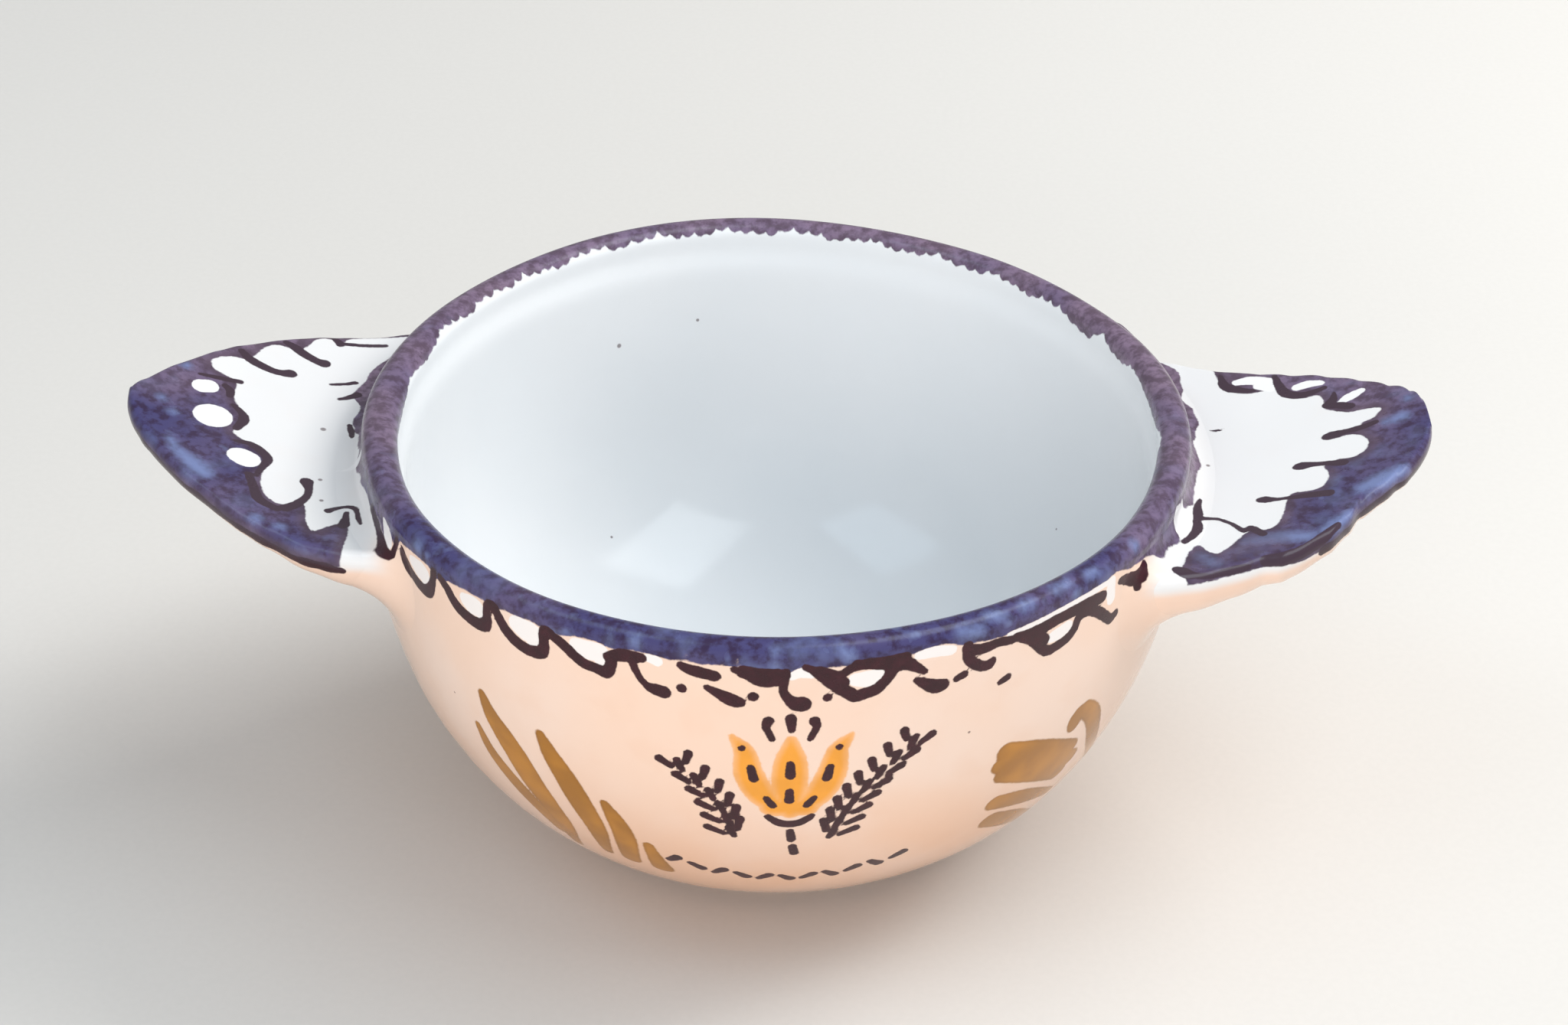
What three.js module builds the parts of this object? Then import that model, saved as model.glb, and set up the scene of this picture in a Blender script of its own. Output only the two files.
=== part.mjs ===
import * as THREE from "three";

// Lug-handled bowl: a thrown earthenware bowl on a low foot ring, with a leaf-shaped lug luted on
// each side.
// Millimetres, +Z up. The origin is the middle of the foot's rest face, and the lugs lie along X.

// Bowl wall
const rimRadius = 57; // outside of the wall at its widest, just under the lip
const bowlHeight = 61.3; // table to the top of the lip
const wallThickness = 4; // at the lip, which is a full round
const floorThickness = 4.5; // clay under the middle of the hollow
const bellyPower = 2.45; // fullness of the outside curve, where 2 is an ellipse
const hollowPower = 2.6; // fullness of the inside curve

// Foot ring and the turned underside
const footRadius = 27; // outside of the ring at the table
const footWidth = 5.2; // rest face with both of its rounded edges
const footHeight = 2.4; // table to the seat under the wall
const footDraft = 0.9; // how much wider the ring is at its seat than at the table
const footEdgeRadius = 0.6;
const heelReach = 6.7; // how far outside the foot the wall starts to turn in
const heelRise = 2; // height of that point above the seat
const recessDepth = 1; // hollow turned inside the foot ring
const recessBevel = 2.5;

// Lugs
const lugReach = 32.6; // rim to tip
const lugRootWidth = 61; // across the root, corner to corner
const lugEdgeRadius = 1.7; // half the thickness of the free edge
const lugFlankPower = 1.8; // fullness of the outline's flanks, seen from above
const lugTipPower = 1.6; // roundness of the tip, where 1 is a point
const lugDrop = 7.6; // lip down to the middle of the lug's edge, at the wall
const lugRise = 7.1; // how much the tip lies above the root
const lugCurl = 1.5; // how late the rise comes, where 1 is a straight slope
const lugDish = 1.3; // hollow of the upper face at the root
const lugRootExtra = 6.5; // clay added under the root
const lugTaper = 1.7; // how fast that clay thins towards the tip

// Fillet of clay pressed in round each lug's root: its legs on the lug and on the wall
const seamLugLegs = { top: 3, side: 4, under: 6 };
const seamWallLegs = { top: 2.5, side: 4, under: 5 };
const seamEdge = 0.5; // thickness where the fillet runs out
const seamFullness = 0.35; // 0 is a tight hollow, 1 is a flat bevel

// Fit and fineness
const slipGap = 0.3; // layer of slip between two pieces
const ringSegments = 64;
const curveSteps = 14;
const lipSteps = 6;
const heelSteps = 4;
const roundSteps = 3;
const lugStations = 18; // across each face of the lug
const lugSections = 18; // root to tip
const filletSteps = 4;
const probe = 0.01; // step for taking a curve's slope

// Levels and radii that follow from the sizes
const lipRadius = wallThickness / 2;
const shoulderLevel = bowlHeight - lipRadius;
const hollowRadius = rimRadius - wallThickness;
const hollowFloor = footHeight + recessDepth + floorThickness;
const footSeatRadius = footRadius + footDraft;
const footInnerRadius = footRadius - footWidth;
const heelRadius = footRadius + heelReach;
const heelLevel = footHeight + heelRise;
const bellyDepth = (shoulderLevel - heelLevel) / superellipse(heelRadius / rimRadius, bellyPower);
const lugTipX = rimRadius + lugReach;
const lugCornerY = lugRootWidth / 2;
const lugCornerX = Math.sqrt(rimRadius ** 2 - lugCornerY ** 2);
const lugRootLevel = bowlHeight - lugDrop;

function mix(a, b, t) {
  return a + (b - a) * t;
}

// The second coordinate of a superellipse of unit half axes, from the first.
function superellipse(u, power) {
  return (1 - Math.min(u, 1) ** power) ** (1 / power);
}

// Outside radius of the wall at height z, from the shoulder down to the heel.
function outerRadius(z) {
  const depth = Math.max(shoulderLevel - z, 0);
  return rimRadius * superellipse(depth / bellyDepth, bellyPower);
}

// A quarter or half round of a profile, from one angle to another.
function round(x, z, radius, from, to, steps) {
  return Array.from({ length: steps + 1 }, (_, i) => {
    const angle = mix(from, to, i / steps);
    return new THREE.Vector2(x + radius * Math.cos(angle), z + radius * Math.sin(angle));
  });
}

// Revolves a closed profile of radius and height about Z.
function revolve(profile) {
  return new THREE.LatheGeometry(profile, ringSegments).rotateX(Math.PI / 2);
}

function bowlWall() {
  const quarter = Math.PI / 2;
  // The heel turns the wall in, level, to the foot ring's seat.
  const heel = new THREE.Vector2(outerRadius(heelLevel), heelLevel);
  const seat = new THREE.Vector2(footSeatRadius, footHeight);
  const reach = heel.distanceTo(seat) / 3;
  const inwards = new THREE.Vector2(heel.x - outerRadius(heelLevel + probe), -probe);
  const turn = new THREE.CubicBezierCurve(
    seat,
    seat.clone().add(new THREE.Vector2(reach, 0)),
    heel.clone().add(inwards.setLength(reach)),
    heel,
  );
  const outside = [];
  const inside = [];
  for (let i = 1; i <= curveSteps; i++) {
    const z = mix(heelLevel, shoulderLevel, Math.sin((quarter * i) / curveSteps));
    outside.push(new THREE.Vector2(outerRadius(z), z));
  }
  for (let i = curveSteps; i > 0; i--) {
    // Equal turns of the curve, so that the floor and the side are both smooth.
    const angle = (quarter * i) / curveSteps;
    const side = Math.sin(angle) ** (2 / hollowPower);
    const depth = Math.cos(angle) ** (2 / hollowPower);
    inside.push(
      new THREE.Vector2(hollowRadius * side, mix(shoulderLevel, hollowFloor, depth)),
    );
  }
  return revolve([
    new THREE.Vector2(0, footHeight + recessDepth),
    new THREE.Vector2(footInnerRadius - recessBevel, footHeight + recessDepth),
    new THREE.Vector2(footInnerRadius, footHeight),
    ...turn.getPoints(heelSteps),
    ...outside,
    ...round(rimRadius - lipRadius, shoulderLevel, lipRadius, 0, Math.PI, lipSteps).slice(1, -1),
    ...inside,
    new THREE.Vector2(0, hollowFloor),
  ]);
}

function footRing() {
  const edge = footEdgeRadius;
  const top = footHeight - slipGap;
  const quarter = Math.PI / 2;
  const profile = [
    new THREE.Vector2(footInnerRadius, top),
    ...round(footInnerRadius + edge, edge, edge, -Math.PI, -quarter, roundSteps),
    ...round(footRadius - edge, edge, edge, -quarter, 0, roundSteps),
    new THREE.Vector2(footSeatRadius, top),
  ];
  return revolve([...profile, profile[0].clone()]);
}

// Half width of the lug's outline, seen from above.
function lugHalfWidth(x) {
  const along = THREE.MathUtils.clamp((x - lugCornerX) / (lugTipX - lugCornerX), 0, 1);
  return lugCornerY * (1 - along ** lugFlankPower) ** (1 / lugTipPower);
}

// Where the wall's outside, with the slip on it, stands at a given side position and height.
function wallX(y, z) {
  return Math.sqrt((outerRadius(z) + slipGap) ** 2 - y ** 2);
}

// How far a rounded edge has grown at a distance inside the outline, from 0 to 1.
function edgeGrowth(distance, radius) {
  return Math.sqrt(1 - (1 - Math.min(distance / radius, 1)) ** 2);
}

// A point of the lug's skin. The share along runs from root to tip, the share across from -1 to 1,
// and face is 1 on the upper face and -1 on the lower one.
function lugPoint(along, across, face) {
  const edgeX = mix(lugCornerX, lugTipX, along);
  const halfWidth = lugHalfWidth(edgeX);
  const lean = (lugHalfWidth(edgeX - probe) - lugHalfWidth(edgeX)) / probe;
  const inside = (halfWidth * (1 - Math.abs(across))) / Math.hypot(1, lean);
  const y = halfWidth * across;
  const under = lugEdgeRadius + lugRootExtra * (1 - along) ** lugTaper;
  const radius = face > 0 ? lugEdgeRadius : under;
  const rootZ = lugRootLevel - lugDish * (1 - across ** 2);
  const thickness = face * radius * edgeGrowth(inside, radius);
  const x = mix(wallX(lugCornerY * across, rootZ + thickness), lugTipX, along);
  const rise = lugRise * Math.max((x - rimRadius) / lugReach, 0) ** lugCurl;
  const dish = lugDish * (1 - across ** 2) * (1 - along);
  const z = lugRootLevel + rise - dish + thickness;
  return new THREE.Vector3(x, y, z);
}

// The stations round a lug's section: over the upper face, then back under the lower one.
function lugLoop() {
  const stations = [];
  for (let i = 0; i < 2 * lugStations; i++) {
    const face = i <= lugStations ? 1 : -1;
    const share = face > 0 ? i / lugStations : 2 - i / lugStations;
    stations.push({ across: Math.sin(Math.PI * (0.5 - share)), face });
  }
  return stations;
}

// Triangles of a solid from its points and the rings that index them.
class Skin {
  constructor() {
    this.positions = [];
    this.triangles = [];
  }

  add(point) {
    this.positions.push(point.x, point.y, point.z);
    return this.positions.length / 3 - 1;
  }

  quad(a, b, c, d) {
    this.triangles.push(a, b, c, a, c, d);
  }

  // Joins two rings of equal length.
  band(ring, next) {
    ring.forEach((a, i) => {
      const j = (i + 1) % ring.length;
      this.quad(a, ring[j], next[j], next[i]);
    });
  }

  geometry() {
    const made = new THREE.BufferGeometry();
    made.setAttribute("position", new THREE.Float32BufferAttribute(this.positions, 3));
    made.setIndex(this.triangles);
    made.computeVertexNormals();
    return made;
  }
}

// The lug: lens sections lofted from the wall's own curve out to the tip.
function lug() {
  const skin = new Skin();
  const loop = lugLoop();
  const rings = [];
  for (let k = 0; k < lugSections; k++) {
    const along = Math.sin((Math.PI / 2) * (k / lugSections));
    rings.push(loop.map(({ across, face }) => skin.add(lugPoint(along, across, face))));
  }
  const tip = skin.add(lugPoint(1, 0, 1));
  rings.slice(1).forEach((ring, k) => skin.band(rings[k], ring));
  const last = rings.at(-1);
  last.forEach((a, i) => skin.triangles.push(a, last[(i + 1) % last.length], tip));
  // The root face follows the wall, so it is stitched from the upper to the lower edge.
  const root = rings[0];
  const end = 2 * lugStations;
  skin.triangles.push(root[0], root[end - 1], root[1]);
  for (let i = 1; i < lugStations - 1; i++) {
    skin.quad(root[i], root[end - i], root[end - i - 1], root[i + 1]);
  }
  skin.triangles.push(root[lugStations - 1], root[lugStations + 1], root[lugStations]);
  return skin.geometry();
}

// The legs' length for a direction round the root: 1 is up, 0 is sideways and -1 is down.
function legLength(legs, upwards) {
  return mix(legs.side, upwards > 0 ? legs.top : legs.under, Math.abs(upwards));
}

// A point on the wall's outside at an arc length from the lug's middle, off the surface.
function onWall(arc, z, off) {
  const angle = arc / rimRadius;
  const radius = outerRadius(z) + off;
  return new THREE.Vector3(radius * Math.cos(angle), radius * Math.sin(angle), z);
}

// The fillet: a closed ring round the lug's root, with a hollow face between its two legs.
function lugSeam() {
  const skin = new Skin();
  const loop = lugLoop();
  const root = loop.map(({ across, face }) => {
    const point = lugPoint(0, across, face);
    return new THREE.Vector2(rimRadius * Math.atan2(point.y, point.x), point.z);
  });
  const rings = loop.map(({ across, face }, i) => {
    const before = root.at(i - 1);
    const after = root[(i + 1) % root.length];
    const outwards = new THREE.Vector2(after.y - before.y, before.x - after.x).normalize();
    const onLug = (along, off) => {
      const point = lugPoint(along, across, face);
      point.y += off * outwards.x;
      point.z += off * outwards.y;
      return point;
    };
    const besideLug = (away, off) => {
      const place = root[i].clone().addScaledVector(outwards, away);
      return onWall(place.x, place.y, off);
    };
    const lugLeg = legLength(seamLugLegs, outwards.y);
    const wallLeg = legLength(seamWallLegs, outwards.y);
    const along = lugLeg / (lugTipX - wallX(lugCornerY * across, root[i].y));
    const skinned = slipGap + seamEdge;
    const lugEnd = onLug(along, skinned);
    const wallEnd = besideLug(slipGap + wallLeg, skinned);
    const corner = besideLug(skinned, skinned);
    const chord = lugEnd.clone().lerp(wallEnd, 0.5);
    const hollow = new THREE.QuadraticBezierCurve3(
      lugEnd,
      corner.lerp(chord, seamFullness),
      wallEnd,
    );
    return [
      besideLug(slipGap, slipGap),
      onLug(along / 2, slipGap),
      onLug(along, slipGap),
      ...hollow.getPoints(filletSteps),
      besideLug(slipGap + wallLeg, slipGap),
      besideLug(slipGap + wallLeg / 2, slipGap),
    ].map((point) => skin.add(point));
  });
  rings.forEach((ring, i) => skin.band(ring, rings[(i + 1) % rings.length]));
  return skin.geometry();
}

function piece(name, geometry, material, turn = 0) {
  const mesh = new THREE.Mesh(geometry, material);
  mesh.name = name;
  mesh.rotation.z = turn;
  return mesh;
}

const glaze = new THREE.MeshStandardMaterial({ color: 0xf3ece4, roughness: 0.18, metalness: 0 });
const bandedGlaze = new THREE.MeshStandardMaterial({ color: 0xdfdfe8, roughness: 0.18, metalness: 0 });
const bareClay = new THREE.MeshStandardMaterial({ color: 0xd9b796, roughness: 0.8, metalness: 0 });

const bowl = new THREE.Group();
bowl.add(piece("bowl_wall", bowlWall(), glaze));
bowl.add(piece("foot_ring", footRing(), bareClay));
for (const [side, turn] of [["right", 0], ["left", Math.PI]]) {
  bowl.add(piece(`lug_${side}`, lug(), bandedGlaze, turn));
  bowl.add(piece(`lug_seam_${side}`, lugSeam(), glaze, turn));
}

export default bowl;
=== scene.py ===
"""Looks of the lug-handled bowl: glaze, brushwork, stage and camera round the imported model.

Metres in Blender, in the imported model's frame: +X through the lugs, -Y the painted front, +Z up.
The making functions work in millimetres, as a potter measures, and scale on the way out.
"""

import math
from functools import partial

import bpy
import numpy as np
from bpy.props import FloatProperty, FloatVectorProperty, PointerProperty
from mathutils import Matrix, Vector


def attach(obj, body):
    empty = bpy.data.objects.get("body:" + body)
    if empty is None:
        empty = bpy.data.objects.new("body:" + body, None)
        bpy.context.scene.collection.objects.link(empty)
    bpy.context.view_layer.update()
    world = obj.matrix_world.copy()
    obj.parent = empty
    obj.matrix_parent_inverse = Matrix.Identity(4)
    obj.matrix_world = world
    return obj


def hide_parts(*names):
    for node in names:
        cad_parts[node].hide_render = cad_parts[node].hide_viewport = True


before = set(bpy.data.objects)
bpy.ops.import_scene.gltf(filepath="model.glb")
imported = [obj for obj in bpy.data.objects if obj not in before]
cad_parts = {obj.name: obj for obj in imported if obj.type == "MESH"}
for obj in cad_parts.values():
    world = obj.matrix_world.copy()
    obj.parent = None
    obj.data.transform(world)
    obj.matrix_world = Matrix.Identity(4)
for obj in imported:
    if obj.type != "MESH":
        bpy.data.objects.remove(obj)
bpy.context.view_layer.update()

bl_info = {
    "name": "Lug-handled bowl",
    "version": (1, 0, 0),
    "blender": (4, 5, 0),
    "location": "3D View > Sidebar > Bowl",
    "description": "Makes a glazed, hand-painted bowl with two lugs on a plain stage",
    "category": "Object",
}

MM = 0.001


# ---- Sizes and colours that a user would change ----

def length(name, description, millimetres):
    return FloatProperty(
        name=name, description=description, default=millimetres * MM, unit="LENGTH", subtype="DISTANCE"
    )


def light_power(name, description, watts):
    return FloatProperty(name=name, description=description, default=watts, unit="POWER")


def colour(name, description, red, green, blue):
    """A colour property from display values of 0 to 255."""
    def linear(value):
        share = value / 255
        return share / 12.92 if share <= 0.04045 else ((share + 0.055) / 1.055) ** 2.4

    return FloatVectorProperty(
        name=name, description=description, subtype="COLOR", size=3, min=0, max=1,
        default=(linear(red), linear(green), linear(blue)),
    )


class BowlForm(bpy.types.PropertyGroup):
    rim_radius: length("Rim radius", "Outside of the wall at its widest", 57)
    height: length("Height", "Table to the top of the lip", 61.3)
    wall: length("Wall", "Thickness of the wall at the lip", 4)
    floor: length("Floor", "Clay under the middle of the hollow", 4.5)
    foot_radius: length("Foot radius", "Outside of the foot ring at the table", 27)
    foot_width: length("Foot width", "Rest face of the foot ring", 5.2)
    foot_height: length("Foot height", "Table to the seat under the wall", 2.4)
    lug_reach: length("Lug reach", "Rim to the lug's tip", 32.6)
    lug_root: length("Lug root", "Width of the lug across its root", 61)
    lug_edge: length("Lug edge", "Half the thickness of the lug's free edge", 1.7)
    lug_drop: length("Lug drop", "Lip down to the lug's middle, at the wall", 7.6)
    lug_rise: length("Lug rise", "How much the tip lies above the root", 7.1)


class BowlGlaze(bpy.types.PropertyGroup):
    # Painted light in the glaze colours: the hollow's cool tint is painted sky light, and the outside's
    # warm cream and peach are painted warm bounce light from below, strongest near the foot.
    milk_skylight: colour("Milk glaze", "Cool white glaze of the hollow", 242, 246, 248)
    cream_bounce: colour("Cream glaze", "Warm glaze of the outside, near the rim", 253, 221, 199)
    peach_bounce: colour("Peach glaze", "Warm glaze of the outside, near the foot", 243, 196, 163)
    cobalt: colour("Cobalt", "Middle tone of the blue bands", 62, 66, 114)
    cobalt_deep: colour("Deep cobalt", "Where the blue is thick", 38, 34, 70)
    # Thin cobalt is also the colour of the painted highlights on the blue.
    cobalt_thin_and_highlight: colour("Thin cobalt", "Where the blue is thin", 116, 134, 180)
    plum: colour("Plum", "Blue that has burnt towards purple grey", 124, 107, 129)
    outline: colour("Outline", "Dark line work", 46, 11, 20)
    leaf: colour("Leaf", "Olive brush dabs", 184, 122, 22)
    ochre: colour("Ochre", "Yellow of the flower", 252, 168, 44)
    clay: colour("Clay", "Bare clay of the foot's rest face", 205, 170, 138)


class BowlStage(bpy.types.PropertyGroup):
    paper: colour("Paper", "The floor and backdrop", 208, 205, 201)
    key: light_power("Key light", "Power of the soft light at the back right", 6.8)
    front: light_power("Front light", "Power of the soft light in front", 8.2)
    window_left: light_power("Left window", "Power of the window overhead, left", 1.0)
    window_right: light_power("Right window", "Power of the window overhead, right", 2.3)
    sky: FloatProperty(
        name="Sky", description="Strength of the even light from all round", default=0.58, min=0
    )


# ---- The bowl's shape, in millimetres ----

# How full the wall's curves are: 2 is an ellipse, and more is squarer.
BELLY_POWER = 2.45
HOLLOW_POWER = 2.6

# The heel, where the wall turns under, lies this far out from the foot ring and above its seat.
HEEL_REACH, HEEL_RISE = 6.7, 2.0

# The foot ring spreads by this much up to its seat. Its corners are round.
FOOT_DRAFT = 0.9
FOOT_FLARE_LEVEL, FOOT_FLARE = 1.5, 0.4
FOOT_EDGE = 0.6
FOOT_SLIP = 0.05
RECESS_DEPTH = 1.0

# The turned underside, from its middle to the heel: radius, and rise over the foot ring's seat.
UNDERSIDE = [
    (1, RECESS_DEPTH), (10, RECESS_DEPTH), (19.3, RECESS_DEPTH), (20.5, RECESS_DEPTH / 2),
    (21.8, 0), (25, 0), (27.9, 0), (30.2, 0), (32, 0.4), (33.1, 1.1),
]

# The hollow narrows by this much under the flared lip, and eases back to its curve further down.
FLARE = 0.75
FLARE_STARTS, FLARE_ENDS = (1.5, 5.5), (14, 44)
SWELL_ENDS = (3, 22)

# Wander of the thrown wall: size, waves round, millimetres up for each radian of twist, and phase.
THROWN = [(0.16, 2, math.inf, 0.7), (0.1, 3, 34, 2.2), (0.05, 7, 8, 0), (0.03, 12, -5, 1)]
THROWN_RISE = 14
LIP_HEIGHT_REACH = 34

LUG_FLANK_POWER, LUG_TIP_POWER = 1.8, 1.6
LUG_CURL = 1.5
LUG_DISH = 1.3
LUG_ROOT_EXTRA = 6.5
LUG_ROOT_BITE = 0.5
LUG_TIP_ROUNDING = 150
SLOPE_STEP = 0.4

# The two lugs differ, as hand work does. What differs is picked by side: 1 is right and -1 is left.
LUG_TAPER = {1: 1.4, -1: 3.0}

# How much wider each hand-cut lug is than its template, at millimetres out: in front, then at the back.
LUG_CUT = {
    1: (
        [(50, 0), (62, -0.3), (65.3, -0.5), (68.6, 0.8), (71.6, 1.1), (74.6, 0.9), (77.2, -0.2),
         (78.9, -1.7), (81, -1.7), (83.6, -1), (85.7, 0), (89, 0.4)],
        [(50, -0.6), (55, -2), (59.5, -2.6), (63, -3.1), (67.6, -2.5), (71.6, -1.6), (76.5, -0.4),
         (80.8, 0.9), (84.6, 2.6), (87.3, 4.2), (88.6, 5.2), (89.4, 6)],
    ),
    -1: (
        [(50, 0), (59, 0.4), (63, 0.7), (66.8, 0.2), (70.5, 0), (73.9, -0.4), (80.3, -0.3), (84.6, -0.3),
         (86.5, 0.2), (88.5, 0.7), (89.4, 0.9)],
        [(50, 0), (61, -0.2), (64.5, 0.2), (67.9, 0.4), (71.2, 0.7), (77.6, 0.5), (80.1, 0), (84.7, -0.9),
         (87.4, -1.2), (89.4, -0.3)],
    ),
}


def superellipse(u, power):
    return (1 - np.minimum(u, 1) ** power) ** (1 / power)


def ease(share):
    """0 to 1, slow at both ends."""
    return share * share * (3 - 2 * share)


def smooth(low, high, value):
    return ease(np.clip((value - low) / (high - low), 0, 1))


def around(keys, degrees):
    """A value that runs smoothly through (degrees, value) keys, all the way round."""
    at = np.array([k[0] for k in keys], float)
    value = np.array([k[1] for k in keys], float)
    at = np.concatenate([at[-1:] - 360, at, at[:1] + 360])
    value = np.concatenate([value[-1:], value, value[:1]])
    turned = (np.asarray(degrees, float) + 180) % 360 - 180
    i = np.clip(np.searchsorted(at, turned) - 1, 0, len(at) - 2)
    share = ease((turned - at[i]) / (at[i + 1] - at[i]))
    return value[i] + (value[i + 1] - value[i]) * share


def through(keys, value):
    """A value that runs smoothly through (place, value) keys, and stays level beyond both ends."""
    at = np.array([k[0] for k in keys], float)
    level = np.array([k[1] for k in keys], float)
    i = np.clip(np.searchsorted(at, value) - 1, 0, len(at) - 2)
    return level[i] + (level[i + 1] - level[i]) * smooth(at[i], at[i + 1], value)


# How much the hand-thrown lip stands above or below its level, by degrees round from the front.
LIP_HEIGHT = [
    (-160, 0.7), (-120, 0.3), (-60, 0.25), (0, 0), (60, -0.15), (100, -0.3), (128, -0.9), (150, -0.7),
]

# How much thicker the lip is on its inner side, beside the lugs.
LIP_SWELL = [(-180, 0), (-135, 0.2), (-92, 1.1), (-58, 0.5), (-30, 0), (40, 0), (90, 0.6), (135, 0.1)]


class Bowl:
    """The form's sizes in millimetres, with the curves that follow from them."""

    def __init__(self, form):
        for name in BowlForm.__annotations__:
            setattr(self, name, getattr(form, name) / MM)
        self.lip = self.wall / 2
        self.shoulder = self.height - self.lip
        self.hollow_floor = self.foot_height + RECESS_DEPTH + self.floor
        self.heel_radius = self.foot_radius + HEEL_REACH
        self.heel_level = self.foot_height + HEEL_RISE
        self.foot_seat = self.foot_radius + FOOT_DRAFT
        self.foot_inner = self.foot_radius - self.foot_width
        self.belly = (self.shoulder - self.heel_level) / superellipse(
            self.heel_radius / self.rim_radius, BELLY_POWER
        )
        self.lug_tip = self.rim_radius + self.lug_reach
        self.lug_corner_y = self.lug_root / 2
        self.lug_corner_x = math.sqrt(self.rim_radius ** 2 - self.lug_corner_y ** 2)
        self.lug_level = self.height - self.lug_drop

    def outer(self, z):
        """Outside radius of the wall at height z."""
        return self.rim_radius * superellipse(np.maximum(self.shoulder - z, 0) / self.belly, BELLY_POWER)

    def hollow(self, z, degrees):
        """Inside radius at height z: the lip flares a little over a fuller wall."""
        below = self.shoulder - z
        depth = np.clip(below / (self.shoulder - self.hollow_floor), 0, 1)
        radius = (self.rim_radius - self.wall) * superellipse(depth, HOLLOW_POWER)
        radius = radius - around(LIP_SWELL, degrees) * (1 - smooth(*SWELL_ENDS, below))
        return radius - FLARE * smooth(*FLARE_STARTS, below) * (1 - smooth(*FLARE_ENDS, below))

    def thrown(self, degrees, z):
        """Radial wander of the wall, as the potter's hands leave it."""
        a = np.radians(degrees)
        wander = sum(size * np.sin(waves * a + z / pitch + phase) for size, waves, pitch, phase in THROWN)
        return wander * smooth(self.heel_level, self.heel_level + THROWN_RISE, z)

    def lip_arc(self, z):
        """How far the lip's round section reaches to either side of its middle, at height z."""
        return np.sqrt(np.clip(self.lip ** 2 - (z - self.shoulder) ** 2, 0, None))

    def on_outside(self, degrees, depth):
        """Points on the outside, from degrees round and millimetres under the lip."""
        degrees, depth = np.broadcast_arrays(np.asarray(degrees, float), np.asarray(depth, float))
        z = self.height - depth
        rounded = self.rim_radius - self.lip + self.lip_arc(z)
        return self.place(np.where(z > self.shoulder, rounded, self.outer(z)), degrees, z)

    def on_inside(self, degrees, depth):
        """Points on the inside, from degrees round and millimetres under the lip."""
        degrees, depth = np.broadcast_arrays(np.asarray(degrees, float), np.asarray(depth, float))
        z = self.height - depth
        swollen = self.lip_arc(z) * (1 + around(LIP_SWELL, degrees) / self.lip)
        rounded = self.rim_radius - self.lip - swollen
        return self.place(np.where(z > self.shoulder, rounded, self.hollow(z, degrees)), degrees, z)

    def place(self, radius, degrees, z):
        """Turns radius, angle and height into a point, with the hand's wander on it."""
        a = np.radians(degrees)
        grip = smooth(self.heel_radius * 0.6, self.heel_radius * 1.3, radius)
        radius = radius + self.thrown(degrees, z) * grip
        lift = around(LIP_HEIGHT, degrees) * smooth(self.height - LIP_HEIGHT_REACH, self.height, z)
        return np.stack([radius * np.sin(a), -radius * np.cos(a), z + lift], -1)

    def lug_half_width(self, x, side, back):
        """Half width of the lug's outline: the template's, with what the hand has cut off or left on."""
        along = np.clip((x - self.lug_corner_x) / (self.lug_tip - self.lug_corner_x), 0, 1)
        width = self.lug_corner_y * (1 - along ** LUG_FLANK_POWER) ** (1 / LUG_TIP_POWER)
        front_cut, back_cut = (through(keys, x) for keys in LUG_CUT[side])
        lumps = 0.1 * np.sin(x / 2.1 + side + 1.5 * back) + 0.07 * np.sin(x / 0.93 + 2 * side)
        cut = np.where(back, back_cut, front_cut) + lumps
        cut = cut * smooth(0, 0.12, along) * np.sqrt(1 - along ** LUG_TIP_ROUNDING)
        return np.maximum(width + cut, 0.35 * width)

    def lug_edge_x(self, along):
        return self.lug_corner_x + (self.lug_tip - self.lug_corner_x) * along

    def lug_flank(self, along, side, back):
        """Half width of the lug's outline at a share of its length, and how fast it narrows there."""
        edge_x = self.lug_edge_x(along)
        half = self.lug_half_width(edge_x, side, back)
        return half, (self.lug_half_width(edge_x - SLOPE_STEP, side, back) - half) / SLOPE_STEP

    def lug_under(self, along, side):
        """Thickness of the lug's lower half, at a share of its length."""
        return self.lug_edge + LUG_ROOT_EXTRA * (1 - along) ** LUG_TAPER[side]

    def lug_local(self, along, across, face, side):
        """The lug's skin as millimetres outwards, backwards and up. Along runs from 0 at the root to 1
        at the tip, across from -1 in front to 1 at the back, and face is 1 above and -1 below."""
        along, across, face = np.broadcast_arrays(along, across, face)
        half, lean = self.lug_flank(along, side, across > 0)
        inside = half * (1 - np.abs(across)) / np.hypot(1, lean)
        y = half * across
        radius = np.where(face > 0, self.lug_edge, self.lug_under(along, side))
        growth = np.sqrt(1 - (1 - np.minimum(inside / radius, 1)) ** 2)
        thickness = face * radius * growth
        root_z = self.lug_level - LUG_DISH * (1 - across ** 2)
        root_radius = self.outer(root_z + thickness) - LUG_ROOT_BITE
        root_x = np.sqrt(root_radius ** 2 - (self.lug_corner_y * across) ** 2)
        x = root_x + (self.lug_tip - root_x) * along
        rise = self.lug_rise * np.maximum((x - self.rim_radius) / self.lug_reach, 0) ** LUG_CURL
        dish = LUG_DISH * (1 - across ** 2) * (1 - along)
        hand = 0.22 * np.sin(x / 5.2 + side) * np.sin(y / 6.1 + 2 * side) * along * (1 - np.abs(across))
        z = self.lug_level + rise - dish + thickness + hand
        return np.stack([x, y, z], -1)

    def lug_points(self, along, across, face, side):
        return self.lug_local(along, across, face, side) * (side, 1, 1)

    def lug_middle(self, x):
        """Level of the middle of the lug's free edge, x millimetres out."""
        out = np.clip((x - self.rim_radius) / self.lug_reach, 0, None)
        return self.lug_level + self.lug_rise * out ** LUG_CURL

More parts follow.
